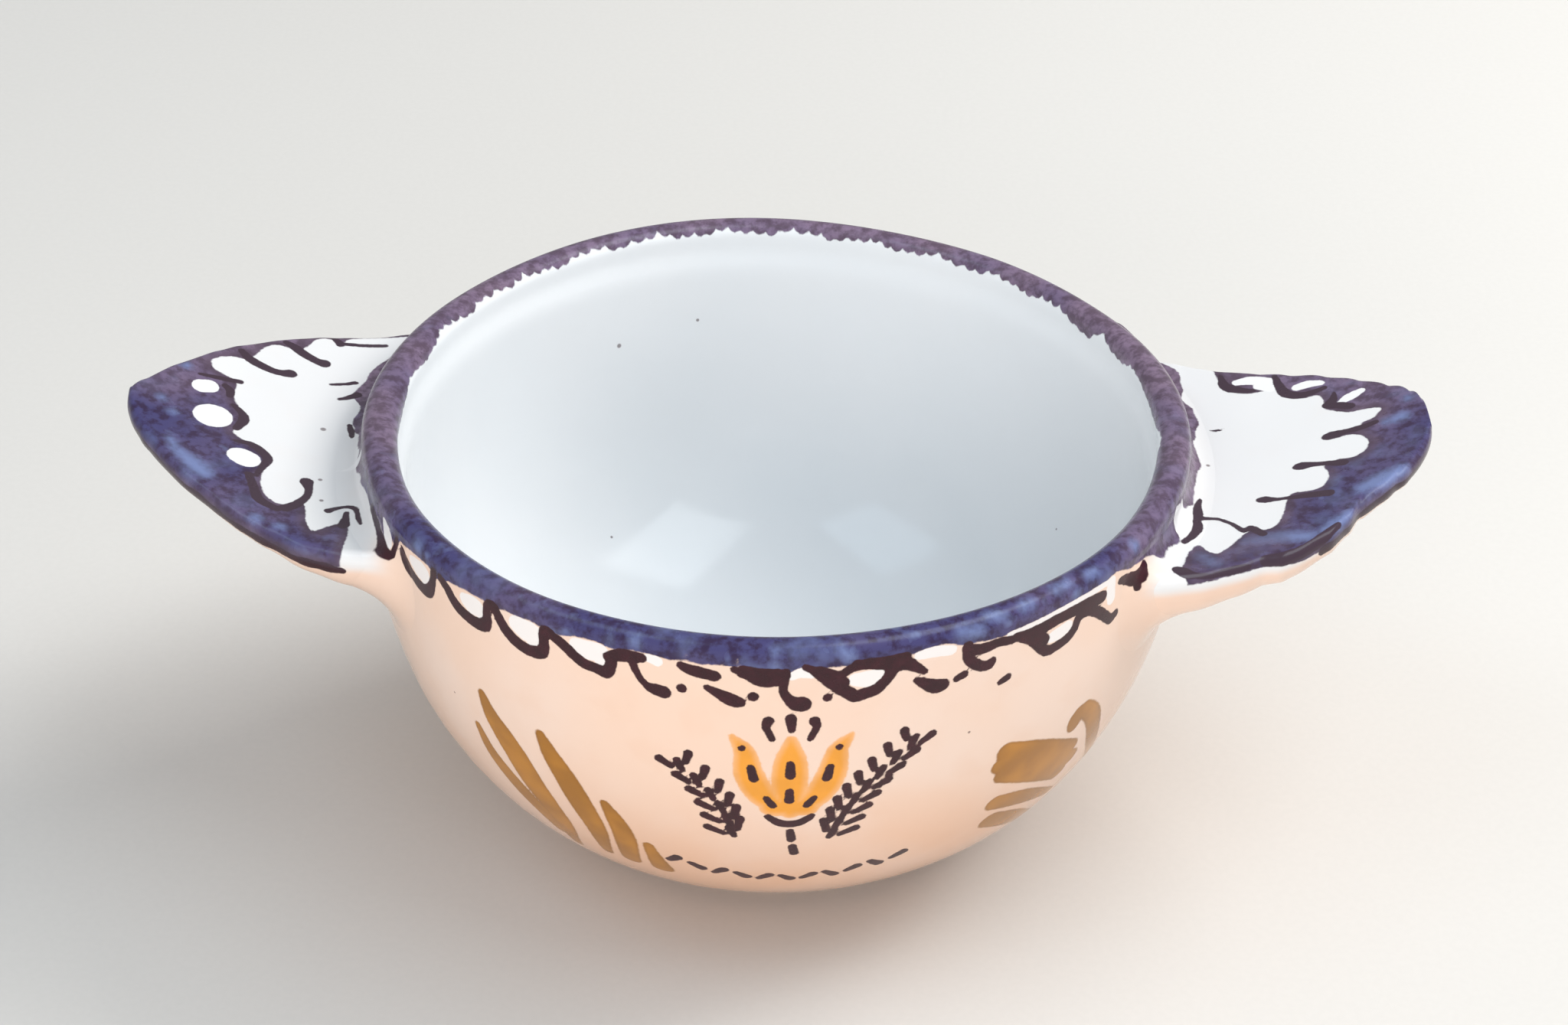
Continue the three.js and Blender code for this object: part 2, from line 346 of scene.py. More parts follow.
    def on_lug(self, out, back, side):
        """Points on the lug's upper face over plan positions: outwards and towards the back."""
        x, y = np.broadcast_arrays(np.asarray(out, float), np.asarray(back, float))
        above = np.ones_like(x)
        along = np.clip((x - self.rim_radius) / self.lug_reach, 0, 0.995)
        for _ in range(12):
            half = np.maximum(self.lug_half_width(self.lug_edge_x(along), side, y > 0), 0.4)
            across = np.clip(y / half, -0.985, 0.985)
            found = self.lug_local(along, across, above, side)
            along = np.clip(along + (x - found[..., 0]) / self.lug_reach * 0.8, 0, 0.995)
        return self.lug_points(along, across, above, side)


# ---- Meshes ----

def make_object(name, points, faces, material):
    """A mesh object at the origin, from points in millimetres."""
    mesh = bpy.data.meshes.new(name)
    mesh.from_pydata((np.asarray(points) * MM).tolist(), [], faces)
    mesh.polygons.foreach_set("use_smooth", [True] * len(mesh.polygons))
    mesh.materials.append(material)
    mesh.validate()
    made = bpy.data.objects.new(name, mesh)
    bpy.context.scene.collection.objects.link(made)
    return made


def paint_layer(piece, name, values):
    """Stores a value for each point of a piece, for its material to read."""
    layer = piece.data.attributes.new(name, "FLOAT", "POINT")
    layer.data.foreach_set("value", np.asarray(values, np.float32))


def revolve(rings, masks):
    """Faces of a body of rings. Each ring keeps the angles that its mask keeps, so that plain
    parts get fewer faces. A ring's mask holds all angles of a coarser neighbour's mask."""
    points, starts = [], []
    total = 0
    for ring, mask in zip(rings, masks):
        points.append(ring[mask])
        starts.append(total)
        total += int(mask.sum())
    points = np.concatenate(points)
    faces = []
    for k in range(len(rings) - 1):
        a, b = masks[k], masks[k + 1]
        ia, ib = np.cumsum(a) - 1, np.cumsum(b) - 1
        na, nb = int(a.sum()), int(b.sum())
        if na == nb:
            i = np.arange(na)
            j = (i + 1) % na
            quads = np.stack([starts[k] + i, starts[k] + j, starts[k + 1] + j, starts[k + 1] + i], -1)
            faces.extend(quads.tolist())
            continue
        coarse = np.flatnonzero(b if nb < na else a)
        for n, first in enumerate(coarse):
            last = coarse[(n + 1) % len(coarse)]
            span = range(first, last + 1) if last > first else [*range(first, len(a)), *range(last + 1)]
            if nb < na:
                near = [starts[k] + int(ia[s]) for s in span if a[s]]
                faces.append(near + [starts[k + 1] + int(ib[last]), starts[k + 1] + int(ib[first])])
            else:
                far = [starts[k + 1] + int(ib[s]) for s in span if b[s]]
                faces.append([starts[k] + int(ia[first]), starts[k] + int(ia[last])] + far[::-1])
    return points, faces, starts


def net(rows, count, closed=False, flipped=False):
    """Faces of rows of points. Each row is a loop, and a closed net joins its last row to its first."""
    i = np.arange(count)
    j = (i + 1) % count
    faces = []
    for row in range(rows if closed else rows - 1):
        near, far = row * count, (row + 1) % rows * count
        quads = np.stack([near + i, near + j, far + j, far + i], -1)
        faces.extend((quads[:, ::-1] if flipped else quads).tolist())
    return faces


def cap(faces, first, count, centre, upwards):
    """Closes the ring that starts at a point index with a fan to a centre point."""
    for i in range(count):
        a, b = first + i, first + (i + 1) % count
        faces.append([a, b, centre] if upwards else [b, a, centre])


# ---- Brushwork ----
# A stroke is a list of touches. On the wall a touch is (degrees round from the front, millimetres
# under the lip, half width); on a lug it is (millimetres out, millimetres back, half width).

LEAVES = [
    [(-40.2, 18.4, 0.5), (-39.2, 21.5, 1.3), (-37.6, 24.3, 1.9), (-35.9, 27.5, 2.2), (-34.3, 32, 2.2),
     (-32.8, 36, 1.9), (-32, 40, 1.5), (-33, 46, 0.6)],
    [(-43, 25.5, 0.4), (-42, 29.5, 1.0), (-40.3, 32.5, 1.4), (-38.2, 35.5, 1.6), (-35.8, 39, 1.5),
     (-34.5, 43, 0.8)],
    [(-30.2, 20.8, 0.6), (-29, 24, 1.4), (-27.4, 27.5, 1.8), (-26, 32, 1.9), (-25, 37.5, 1.5),
     (-25.6, 44, 0.6)],
    [(-21.7, 30.4, 0.5), (-20.7, 33.5, 1.2), (-20.2, 37.5, 1.5), (-21.2, 44, 1.2)],
    [(-16.5, 38.2, 0.6), (-15.8, 44.5, 1.4)],
    [(35.8, 23.6, 1.4), (42, 26.3, 1.6), (50, 30.5, 1.5)],
    [(35.4, 26, 1.4), (42, 28.8, 1.6), (51.5, 33.2, 1.4)],
    [(36.2, 28.2, 1.3), (42, 30.9, 1.5), (50, 35.2, 1.3)],
    [(36.8, 34.4, 1.4), (40, 35.4, 1.5), (44, 36.9, 1.4), (52, 40.6, 0.6)],
    [(37.8, 39, 1.6), (44, 42, 1.7), (53, 47, 0.6)],
    [(48.8, 25.3, 1.1), (48.7, 24.2, 1.2), (50.4, 23.4, 1.3), (53.6, 26.4, 1.4), (57, 32.6, 1.2),
     (62, 40, 0.6)],
]

# The looped border: its dark lines, its dark fills, the white drops in the loops and the thin white
# line under the band at the right.
BORDER_FRONT = [
    [(-68.6, 4.1, 0.3), (-65.6, 4.4, 0.35), (-63.6, 4.7, 0.25), (-61.8, 5, 0.3), (-60.2, 5.3, 0.35),
     (-58.9, 5.6, 0.4), (-58.2, 5.4, 0.35), (-58.1, 4.7, 0.3), (-58, 3.2, 0.35)],
    [(-56.4, 4, 0.4), (-55.5, 5.1, 0.55), (-54.5, 6, 0.65), (-53, 6.8, 0.7), (-51, 7.2, 0.75),
     (-49.6, 6.8, 0.8), (-48.8, 5.6, 0.6), (-48.4, 4.4, 0.5), (-48.1, 3, 0.5)],
    [(-46.6, 3.2, 0.5), (-45.2, 4, 0.65), (-44.2, 5.1, 0.7), (-42.8, 6, 0.75), (-40.8, 6.5, 0.75),
     (-39.2, 6.6, 0.8), (-37.9, 6.2, 0.8), (-37.4, 4.9, 0.6), (-37.5, 3.4, 0.5), (-37, 2.6, 0.5),
     (-36, 2.7, 0.5)],
    [(-36.4, 2.5, 0.5), (-35.4, 3.8, 0.65), (-34.4, 5.2, 0.7), (-33, 6.3, 0.75), (-31.4, 6.9, 0.75),
     (-29.7, 7, 0.75), (-28.5, 6.5, 0.75), (-28.1, 5.4, 0.6), (-28.2, 4.2, 0.55), (-28, 3, 0.55),
     (-27.1, 3.1, 0.5)],
    [(-27.5, 3.2, 0.45), (-25.8, 3.9, 0.6), (-24.5, 4.8, 0.65), (-23.3, 5.7, 0.65), (-22.1, 6.3, 0.6),
     (-20.8, 6.4, 0.6), (-19.2, 6.7, 0.75), (-18.5, 5.4, 0.6), (-18.4, 4, 0.6)],
    [(-18.9, 4.2, 0.5), (-17.1, 3.5, 0.8), (-15.6, 3.4, 0.7), (-14.3, 3.3, 0.5)],
    [(-15.5, 4.4, 0.4), (-14.8, 6.1, 0.3), (-13.7, 7.4, 0.35), (-12.6, 7.8, 0.7), (-11.4, 8, 0.75)],
    [(-9.1, 7, 0.5)],
    [(-9.2, 3.4, 0.35), (-8.2, 3.9, 0.6), (-6.6, 4.2, 0.65), (-5.1, 4.5, 0.65), (-4.7, 4.6, 0.5)],
    [(-5.9, 6.4, 0.25), (-4.4, 7.2, 0.55), (-3.1, 7.9, 0.8), (-2.2, 8.3, 0.75), (-1.6, 8.4, 0.5)],
    [(0, 7.4, 0.55)],
    [(-2.4, 3.3, 0.3), (-1.1, 3.9, 0.4), (0.2, 4.8, 0.45), (1.2, 5.2, 0.5), (2.6, 5.1, 0.5),
     (3.9, 4.8, 0.45), (4.1, 3.6, 0.4)],
    [(3.9, 4.9, 0.4), (3.8, 6.5, 0.4), (4.5, 7.8, 0.5), (5.4, 8.5, 0.9), (6.2, 8.6, 1.0)],
    [(9.4, 7.7, 0.45)],
    [(6.6, 2.9, 0.3), (7.6, 3.5, 0.4), (9, 4.8, 0.55), (10.6, 6.2, 0.65), (12.1, 7.3, 0.75),
     (12.9, 7.9, 0.7), (14, 7.6, 0.7), (15.4, 7.3, 0.65), (16.5, 6.3, 0.6), (17.4, 5.2, 0.55),
     (17.9, 4.5, 0.55)],
    [(11.4, 4.2, 0.4), (12.4, 3.5, 0.45), (14, 3.2, 0.5), (16.1, 3.5, 0.5), (17.6, 3.9, 0.5)],
    [(17.4, 4.6, 0.55), (18.6, 3.9, 0.75), (19.6, 3.9, 0.8), (20.7, 4.6, 0.55), (22, 5.6, 0.3)],
    [(20.9, 6.7, 0.3), (22.4, 7.7, 0.7), (23.6, 8.3, 0.9), (24.5, 8.3, 0.75)],
    [(26.5, 7.9, 0.35), (27.6, 7.5, 0.4)],
    [(27.9, 3.3, 0.6), (28, 4.9, 0.6), (28.6, 5.9, 0.6), (30, 7, 0.6), (31.2, 7.1, 0.6), (31.6, 6.6, 0.4)],
    [(28, 4, 0.7), (30.3, 4.3, 0.65), (32.4, 4.1, 0.5), (34.6, 4.4, 0.5)],
    [(33.1, 10.6, 0.3), (34.2, 10.2, 0.4)],
    [(35.6, 4.4, 0.5), (37.6, 5.7, 0.5), (39.2, 7.4, 0.55), (40.5, 8.5, 0.65), (42.1, 8.4, 0.6),
     (43.9, 8, 0.6), (45.1, 7.1, 0.55), (45.6, 5.9, 0.55), (46.4, 5.1, 0.6)],
    [(46.3, 5.2, 0.6), (48, 5.5, 0.6), (49.8, 6.6, 0.6), (51.5, 8.2, 0.6), (52.6, 9.2, 0.55),
     (53.6, 8.8, 0.5)],
    [(54.2, 3.9, 0.35), (55.4, 4.3, 0.6), (56.7, 5, 0.8), (58.2, 5.2, 0.75), (59.6, 4.3, 0.45)],
    [(57.6, 5.6, 0.4), (57.4, 6.5, 0.35)],
]
BORDER_SHADES = [
    [(-1.2, 3.6, 0.8), (1, 4.2, 1.0), (3, 4, 0.8)],
    [(8.4, 3.4, 0.4), (10, 4.6, 0.9), (11.2, 5.6, 0.8)],
    [(13, 2.9, 0.4), (17, 3, 0.5), (19.4, 2.9, 0.6)],
    [(36.6, 4.8, 0.6), (38.6, 5.6, 0.8), (39.7, 6.5, 0.8)],
    [(35.2, 4.2, 0.5), (37.1, 4.6, 0.75), (39.4, 4.5, 0.8), (41.4, 4.2, 0.7), (44.4, 4.1, 0.7),
     (47.6, 4.2, 0.8), (50.3, 4.5, 0.8)],
]
BORDER_DROPS = [
    [(-88, 3, 0.2), (-84.4, 4.6, 0.4), (-82.4, 6.2, 0.3)],
    [(-62.4, 3.1, 0.4), (-61.3, 3.7, 0.6), (-60.1, 4.2, 0.6), (-59.5, 4.6, 0.4)],
    [(-53.4, 4.2, 0.7), (-51.9, 4.5, 1.2), (-50.6, 4.6, 1.2), (-50.3, 5.5, 0.9)],
    [(-41.6, 3.9, 0.7), (-40.4, 4.2, 1.2), (-39.2, 4.2, 1.1), (-38.7, 4.8, 0.7)],
    [(-32.4, 3.7, 1.0), (-31, 4.1, 1.4), (-29.8, 4.2, 1.3), (-29.9, 5.4, 0.8)],
    [(-23.2, 3.7, 0.9), (-21.6, 4, 1.2), (-20.1, 4, 1.2), (-19.8, 5.2, 0.7)],
    [(-13.4, 3.1, 0.4), (-12.2, 3.4, 0.5)],
    [(4.8, 4.3, 0.3), (6, 3.7, 0.5), (7.4, 4.1, 0.3)],
    [(12.9, 5.3, 0.7), (14.3, 5.4, 1.0), (15.6, 5.2, 0.9), (16.5, 4.9, 0.6)],
    [(21.2, 3, 0.4), (23.4, 2.9, 0.6), (25.6, 3.2, 0.5)],
    [(34, 3.45, 0.15), (37.5, 3.3, 0.2), (41, 3.05, 0.22), (45, 2.85, 0.22), (49, 2.75, 0.22),
     (51.5, 2.75, 0.2)],
    [(41.1, 6.6, 0.6), (42.4, 6.5, 0.8), (43.8, 6.1, 0.7)],
    [(52.2, 3, 0.6), (52.1, 4.3, 0.7), (52.3, 5.8, 0.6)],
    [(75.2, 3.8, 0.5), (74.3, 4.7, 0.9), (72.8, 5.7, 0.9), (70.9, 6.4, 0.5)],
]

# The flower on the front. A seed head stands on each side of it: its stem's foot and top, its bend
# and its pairs of dashes. A garland hangs below: its ends, its depth and its dashes.
FLOWER_PETALS = [
    [(4.2, 27, 1.1), (1.2, 24.5, 1.9), (-0.6, 20.5, 2.0), (-1.2, 16.5, 1.4), (-2.8, 14, 0.5)],
    [(4.8, 27.5, 1.3), (4.7, 23, 2.3), (4.8, 18.5, 2.2), (4.9, 14.5, 0.8)],
    [(5.4, 27, 1.1), (8.4, 24.5, 1.9), (10.2, 20.5, 2.0), (10.9, 16.5, 1.4), (12.6, 14, 0.5)],
    [(2.5, 26.5, 1.8), (7, 26.5, 1.8)],
]
FLOWER_LINES = [
    [(2.4, 14.2, 0.3), (1.6, 12.2, 0.35), (1.9, 11.3, 0.6)],
    [(4.9, 12.8, 0.3), (4.8, 10.9, 0.6)],
    [(7.3, 14.2, 0.3), (8.1, 12.3, 0.35), (7.8, 11.4, 0.6)],
    [(4.8, 18.5, 0.35), (4.8, 20.6, 0.55)],
    [(4.7, 23.4, 0.35), (4.7, 25.2, 0.5)],
    [(-0.4, 19.2, 0.35), (0, 21.2, 0.5)],
    [(10, 19.2, 0.35), (9.6, 21.2, 0.5)],
    [(1.6, 24.8, 0.3), (2.5, 26.2, 0.4)],
    [(8, 24.8, 0.3), (7.1, 26.2, 0.4)],
    [(-1.5, 15.9, 0.35)],
    [(11.1, 15.9, 0.35)],
    [(1.8, 28.4, 0.35), (3.2, 29.6, 0.5), (4.8, 30, 0.55), (6.4, 29.6, 0.5), (7.8, 28.4, 0.35)],
    [(4.9, 31.6, 0.4), (5.1, 33.4, 0.45)],
    [(5.3, 35, 0.4), (5.6, 36.7, 0.45)],
]
SEED_STEMS = [((-3.2, 33), (-11, 18.5), 0.9, 6), ((10.5, 33.5), (22, 15.5), -0.9, 8)]
GARLAND = (-13, 22, 40.5, 11)

# Where the cobalt of the rim ends, by degrees round: millimetres under the lip inside and outside.
BAND_INSIDE = [
    (-170, 0.8), (-150, 0.6), (-130, 0.6), (-112, 0.8), (-100, 1.5), (-92, 2.4), (-80, 2.3), (-65, 1.6),
    (-48, 1.7), (-40, 2.2), (-25, 2.4), (-7, 2.1), (14, 1.6), (32, 1.9), (49, 1.8), (65, 2.3), (76, 2.2),
    (86, 1.3), (97, 2.0), (110, 1.8), (120, 1.4), (124, 2.6), (128, 1.3), (150, 0.9),
]
BAND_OUTSIDE = [
    (-140, 2.8), (-124, 3.6), (-116, 6.5), (-104, 8.5), (-90, 9.5), (-80, 6.2), (-73, 4.6), (-66, 4.4),
    (-62, 4.6), (-60, 4.9), (-58.3, 4.6), (-56.8, 2.9), (-54, 2.6), (-50, 2.6), (-47, 3.6), (-44, 2.6),
    (-39, 2.3), (-36.6, 2.7), (-33, 2.3), (-30, 2.4), (-27.4, 3), (-23, 2.4), (-20, 2.3), (-18.5, 2.7),
    (-13.8, 2.4), (-9.8, 2.8), (-4.5, 2.7), (-1.8, 3), (0.2, 4.2), (3.9, 4), (6, 3.1), (8.2, 3.1),
    (12, 3.1), (17.4, 3.5), (20.8, 2.4), (24.4, 2), (27.9, 2.9), (33, 3.3), (38.4, 3.1), (44.3, 2.8),
    (50.2, 2.5), (52.5, 2), (57, 3), (60, 3.5), (62, 4), (64, 5.1), (66.2, 5.3), (69, 5.8), (70.1, 5.6),
    (70.9, 3.4), (71.9, 2.2), (73.6, 2.9), (76.7, 5), (80, 6.4), (83, 7.8), (90, 9.5), (104, 8.5),
    (116, 6.5), (124, 3.6), (140, 2.8),
]

# How far out over the lugs' roots the band spreads, beyond the wall.
BAND_ONTO_LUG = [
    (-118, 2.6), (-112, 4), (-108, 4.6), (-101.4, 4.5), (-98.5, 2.8), (-95.3, 2.5), (-92.6, 2.1),
    (-90.5, 1.1), (-88.5, 0.5), (-84, 0.5), (-80, 0.3), (-73, 0.1), (0, 0.3), (62, 0.6), (66, 1.1),
    (69, 1.4), (71, 0.6), (74, 0.5), (80.7, 1), (83, 0.5), (86, 0.8), (89.1, 1.4), (91.6, 1.2), (94.5, 0.9),
    (97.3, 1.5), (101, 2.8), (103.9, 2.9), (106.5, 2), (110, 3.6), (113.4, 4.2), (118, 2.6),
]

# How far the blue runs under the middle of a lug's edge, by millimetres out. Above it, where negative.
LUG_SKIRT = {-1: [(50, 0.3), (60, 0.6)], 1: [(56, -0.4), (62, -0.5), (67, -0.3), (71, 0.4), (75, 0.6)]}

# Share of plum in the rim's blue, by degrees round.
BLUE_TO_PLUM = [
    (-180, 0.85), (-110, 1.0), (-85, 0.9), (-66, 0.5), (-52, 0.15), (0, 0), (48, 0.1), (62, 0.45),
    (75, 0.85), (95, 1), (125, 0.9),
]

# The looped border on the back: its first and last degree, and its loops.
BORDER_BACK = (118, 242, 17)

# The white middle of each lug, as an outline that the border leaves free.
LUG_WHITE = {
    -1: [
        (54, 28.2), (58, 27.4), (61, 26.8), (63.2, 25.8), (64, 24.2), (65, 24.9), (66.4, 25), (67.7, 24.2),
        (68.4, 22.3), (69.2, 20.8), (70.2, 20.2), (71.5, 20.8), (73.2, 20.4), (74.4, 19), (75, 17),
        (75.6, 15.3), (76.8, 14.9), (78, 14.9), (79.7, 13.8), (80.6, 12.4), (80, 10.7), (78.2, 9.9),
        (76.2, 9.3), (76.3, 4.8), (74.5, 2.4), (73.1, -0.5), (75.2, -3.4), (73.2, -4.9), (70.8, -5.2),
        (68.5, -8), (69.4, -11.5), (69.1, -15), (68, -17.6), (66.2, -18.9), (64.2, -18.6), (63.3, -17),
        (62.4, -18.5), (61.9, -22), (60.6, -24.8), (59, -22.8), (57.6, -21.7), (56.2, -20.8), (55.8, -24.8),
        (56, -29.6), (57, -34), (40, -36), (40, 28.2),
    ],
    1: [
        (52, 28), (58, 26.4), (61.4, 24.8), (62, 21.4), (62.5, 18.4), (66.4, 16.9), (69.8, 17.4),
        (70.6, 15.6), (72, 14), (73.8, 13.5), (75.5, 13.9), (76.2, 11.8), (75.8, 10), (77.4, 8.7),
        (79.4, 7.5), (81.5, 7.6), (83.7, 7), (82.4, 5), (80.6, 4.4), (80.2, 3.5), (77.6, 3.3), (76.1, 1.6),
        (78.6, 2.2), (80.3, 1.5), (81.3, -0.5), (80.6, -2.7), (78.9, -3.8), (76.6, -3.5), (74.6, -4.5),
        (75.5, -6.5), (74.9, -9.1), (73.2, -10.3), (70.1, -9.8), (69.5, -11.2), (68.9, -14.7),
        (67.6, -17.8), (65.9, -18.4), (64.6, -17.5), (63.1, -19.1), (61.1, -21.9), (59.6, -23.4),
        (58.3, -22.4), (57.3, -20.2), (55.8, -22.7), (55.2, -25.4), (54.7, -27), (55, -28.8), (56.2, -30.4),
        (58, -34), (50, -36), (40, -36), (40, 28),
    ],
}

# On each lug's border: the white spots in it, and the dark lines along it.
LUG_SPOTS = {
    -1: [[(80.6, 5.7, 1.5), (79.8, 6.1, 1.5)], [(78, -0.8, 2.8)], [(72.8, -9, 1.9), (71.9, -9.4, 2.0)]],
    1: [
        [(64.6, 20.2, 0.7), (66.6, 20.3, 1.0), (69, 19.3, 0.9)],
        [(67.6, 18.6, 0.8), (69.2, 17.6, 0.9)],
        [(72.8, 16.6, 0.8), (74.4, 16.9, 0.9), (76, 16.6, 0.6)],
        [(78.2, 10.6, 0.5), (79.6, 11.5, 0.9), (81.2, 12.4, 0.6)],
    ],
}
LUG_LINES = {
    -1: [
        [(77.8, 7.4, 0.5), (76.8, 6.4, 0.7), (76.8, 5.2, 0.5)],
        [(75.9, 3.2, 0.4), (74.5, 1.8, 0.6), (73.9, 0.2, 0.8), (74.5, -2.4, 0.6)],
        [(74.2, -5.6, 0.3), (72.1, -5.4, 0.6), (70.4, -6.6, 0.75), (69.2, -8.4, 0.75), (69.7, -11, 0.5),
         (70, -13, 0.4)],
        [(63.4, -11.9, 1.0), (62.8, -13.6, 0.6), (62.8, -15.8, 0.6), (63.8, -18.2, 0.8), (65, -19.6, 0.9)],
        [(59.4, -18.6, 0.6), (58.4, -17.7, 0.42), (57, -17.3, 0.35), (55.7, -18.3, 0.35), (55, -20.6, 0.35),
         (54.4, -22.2, 0.25)],
        [(56.9, -18.8, 0.4), (56.8, -20.2, 0.55), (56.8, -22, 0.9)],
        [(81.4, 8.4, 0.3), (78.8, 8.8, 0.5), (76, 9.2, 0.55)],
        [(77, 16.8, 0.6), (75.7, 15.4, 0.8), (73.6, 14.4, 0.8), (71.5, 13.9, 0.7), (69.8, 14.3, 1.0)],
        [(71.6, 21.8, 0.5), (70.2, 21, 0.8), (68.7, 19.9, 0.8), (66.9, 18.9, 0.75), (65.7, 18.6, 1.0)],
        [(65.4, 25.4, 0.4), (64.2, 24.2, 0.7)],
        [(63.4, 24.4, 0.4), (60.6, 24.8, 0.4), (57.8, 25.4, 0.4)],
        [(64, 13.7, 0.3), (62.2, 14.4, 0.35), (60.7, 15.2, 0.45)],
        [(62.4, 10.4, 0.3), (61.2, 11.1, 0.45), (60, 12.2, 0.7)],
        [(60, 4.2, 0.35), (59.4, 2.3, 0.5), (59.1, 0.8, 0.3)],
        [(71, -13, 0.6), (69.8, -16, 0.7), (68.6, -18.8, 0.8), (66, -20.2, 0.7)],
    ],
    1: [
        [(62.4, 22.4, 0.35), (62.9, 19.8, 0.8), (64.4, 18.5, 0.8), (66.9, 17.6, 0.35)],
        [(69.9, 20.6, 0.4), (70.4, 17.8, 0.7), (71.2, 15.6, 0.9), (72.9, 14.5, 0.8), (74.6, 14.6, 0.6),
         (76.4, 15.2, 0.5)],
        [(77.6, 13.4, 0.3), (77.3, 11.6, 0.7), (76.5, 10.6, 0.8), (78, 10, 0.8), (79.4, 9.2, 0.8)],
        [(82.4, 3.8, 0.5), (80.6, 3.3, 0.65), (78.4, 3.1, 0.6), (76.5, 2.8, 1.0), (75.8, 2.6, 0.75)],
        [(77.4, -4.6, 0.8), (75.6, -4.1, 0.6), (73.8, -3.7, 0.55), (72.1, -3.5, 0.95), (71.4, -3.6, 0.7)],
        [(75, -11.6, 0.8), (72.4, -11.2, 0.7), (70, -11, 0.45), (68.2, -10.9, 0.4), (66.7, -10.5, 0.85),
         (66, -10.4, 0.6)],
        [(58, -13.8, 0.5), (60, -14, 0.35), (61.9, -15.6, 0.35), (63.4, -17.9, 0.5), (64.3, -17.3, 0.65),
         (65.8, -19.3, 0.6)],
        [(60.4, 9, 0.15), (61.2, 8.8, 0.3), (62.2, 9.1, 0.15)],
        [(58.1, -9.2, 0.25), (57.7, -11, 0.5), (57.6, -12.8, 0.75), (57.4, -14.6, 0.6), (57.4, -16.4, 0.75),
         (56.6, -18.5, 0.55), (55.3, -20.5, 0.4)],
        [(54.3, -27.4, 0.9), (54.9, -27.9, 1.1), (56.2, -28.4, 0.6), (58.5, -28.2, 0.35),
         (60.6, -27.7, 0.5), (62.2, -27, 0.6), (63.6, -26.4, 0.35)],
        [(65.8, -25.6, 0.8), (68, -25.5, 1.0), (70.2, -24.7, 0.9), (73.3, -22.2, 0.8), (75.6, -19.9, 0.5)],
    ],
}

# Pinholes in the glaze: a place, and a radius.
LUG_PINHOLES = {
    -1: [(63.3, 2.1, 0.5), (61.7, -10.8, 0.38), (60.7, -16.1, 0.38)],
    1: [(59.6, -0.1, 0.4)],
}
HOLLOW_PINHOLES = [(-150, 16.6, 0.42), (-164, 14.8, 0.3), (-139.5, 41.6, 0.25), (120, 33, 0.2)]
WALL_PINHOLES = [(-47, 22, 0.2), (29, 17.5, 0.25), (150, 20, 0.3), (-120, 31, 0.25)]

# Painted highlights: pale touches on the cobalt that stand for glints of reflected light, on the rim's
# right front and on the lugs.
WALL_PAINTED_HIGHLIGHTS = [
    [(27, 1, 0.4), (29.5, 1.5, 0.6)], [(31.2, 0.3, 0.3), (32.4, 0.3, 0.3)],
    [(36.7, 0.4, 0.4), (38, 0.4, 0.3)], [(42.2, 0.2, 0.3), (44.4, 0.2, 0.4)],
    [(48.2, 0.4, 0.4), (49.4, 0.4, 0.3)], [(45.2, 1.7, 0.3)], [(58.2, 0.7, 0.5)],
    [(12, 1.7, 0.6), (11.1, 0.9, 0.4)], [(2.8, 0.7, 0.3)], [(2.7, 2.8, 0.35)],
    [(-15.2, 1.1, 0.5)], [(-52, 1.2, 0.4)],
]
LUG_PAINTED_HIGHLIGHTS = {
    -1: [
        [(80.4, -12, 0.7), (78.2, -14, 1.2), (76.4, -15.6, 0.9)],
        [(85.1, -0.1, 0.4)], [(83.1, -2.7, 0.4)], [(82, -9.6, 0.4), (81, -11.8, 0.4)],
        [(68.2, -23.7, 0.6)], [(64.8, -24.6, 0.5)], [(83.4, 9.4, 0.4)],
    ],
    1: [
        [(79.4, -12.2, 1.0), (82, -11.2, 1.5), (84.6, -9.8, 1.0)],
        [(74, -21, 0.8), (75.7, -19.6, 1.1), (77, -18, 0.7)],
        [(63.6, -20.6, 0.9), (67.6, -20.6, 1.2), (71.5, -21.6, 1.0)],
        [(57.6, -23.4, 0.8), (59, -25.6, 0.9)], [(87.1, 7.7, 0.4)],
        [(86, 3.6, 0.7), (84, 3.2, 0.5)], [(75.6, -8.4, 0.8)],
    ],
}


def resample(touches, step=0.7):
    """A smooth run of touches through the given ones."""
    keys = np.asarray(touches, float)
    if len(keys) == 1:
        return keys
    ends = np.concatenate([[2 * keys[0] - keys[1]], keys, [2 * keys[-1] - keys[-2]]])
    run = []
    for i in range(len(keys) - 1):
        p0, p1, p2, p3 = ends[i:i + 4]
        count = max(2, int(np.hypot(*(p2 - p1)[:2]) / step))
        t = (np.arange(count) / count)[:, None]
        run.append(
            0.5 * (2 * p1 + (p2 - p0) * t + (2 * p0 - 5 * p1 + 4 * p2 - p3) * t ** 2
                   + (3 * p1 - p0 - 3 * p2 + p3) * t ** 3)
        )
    run.append(keys[-1:])
    run = np.concatenate(run)
    run[:, 2] = np.maximum(run[:, 2], 0.15)
    return run


# Distances to paint are kept up to this many millimetres.
FAR = 3.0

# How far paint spreads past the brush, in millimetres.
LINE_SPREAD, DASH_SPREAD, RESERVE_SPREAD, LEAF_SPREAD = 0.22, 0.2, 0.25, 0.25

# Where the dark line under a lug's front edge begins, as a share of the lug's length.
EDGE_LINE_START = {1: 0.62, -1: 0.2}


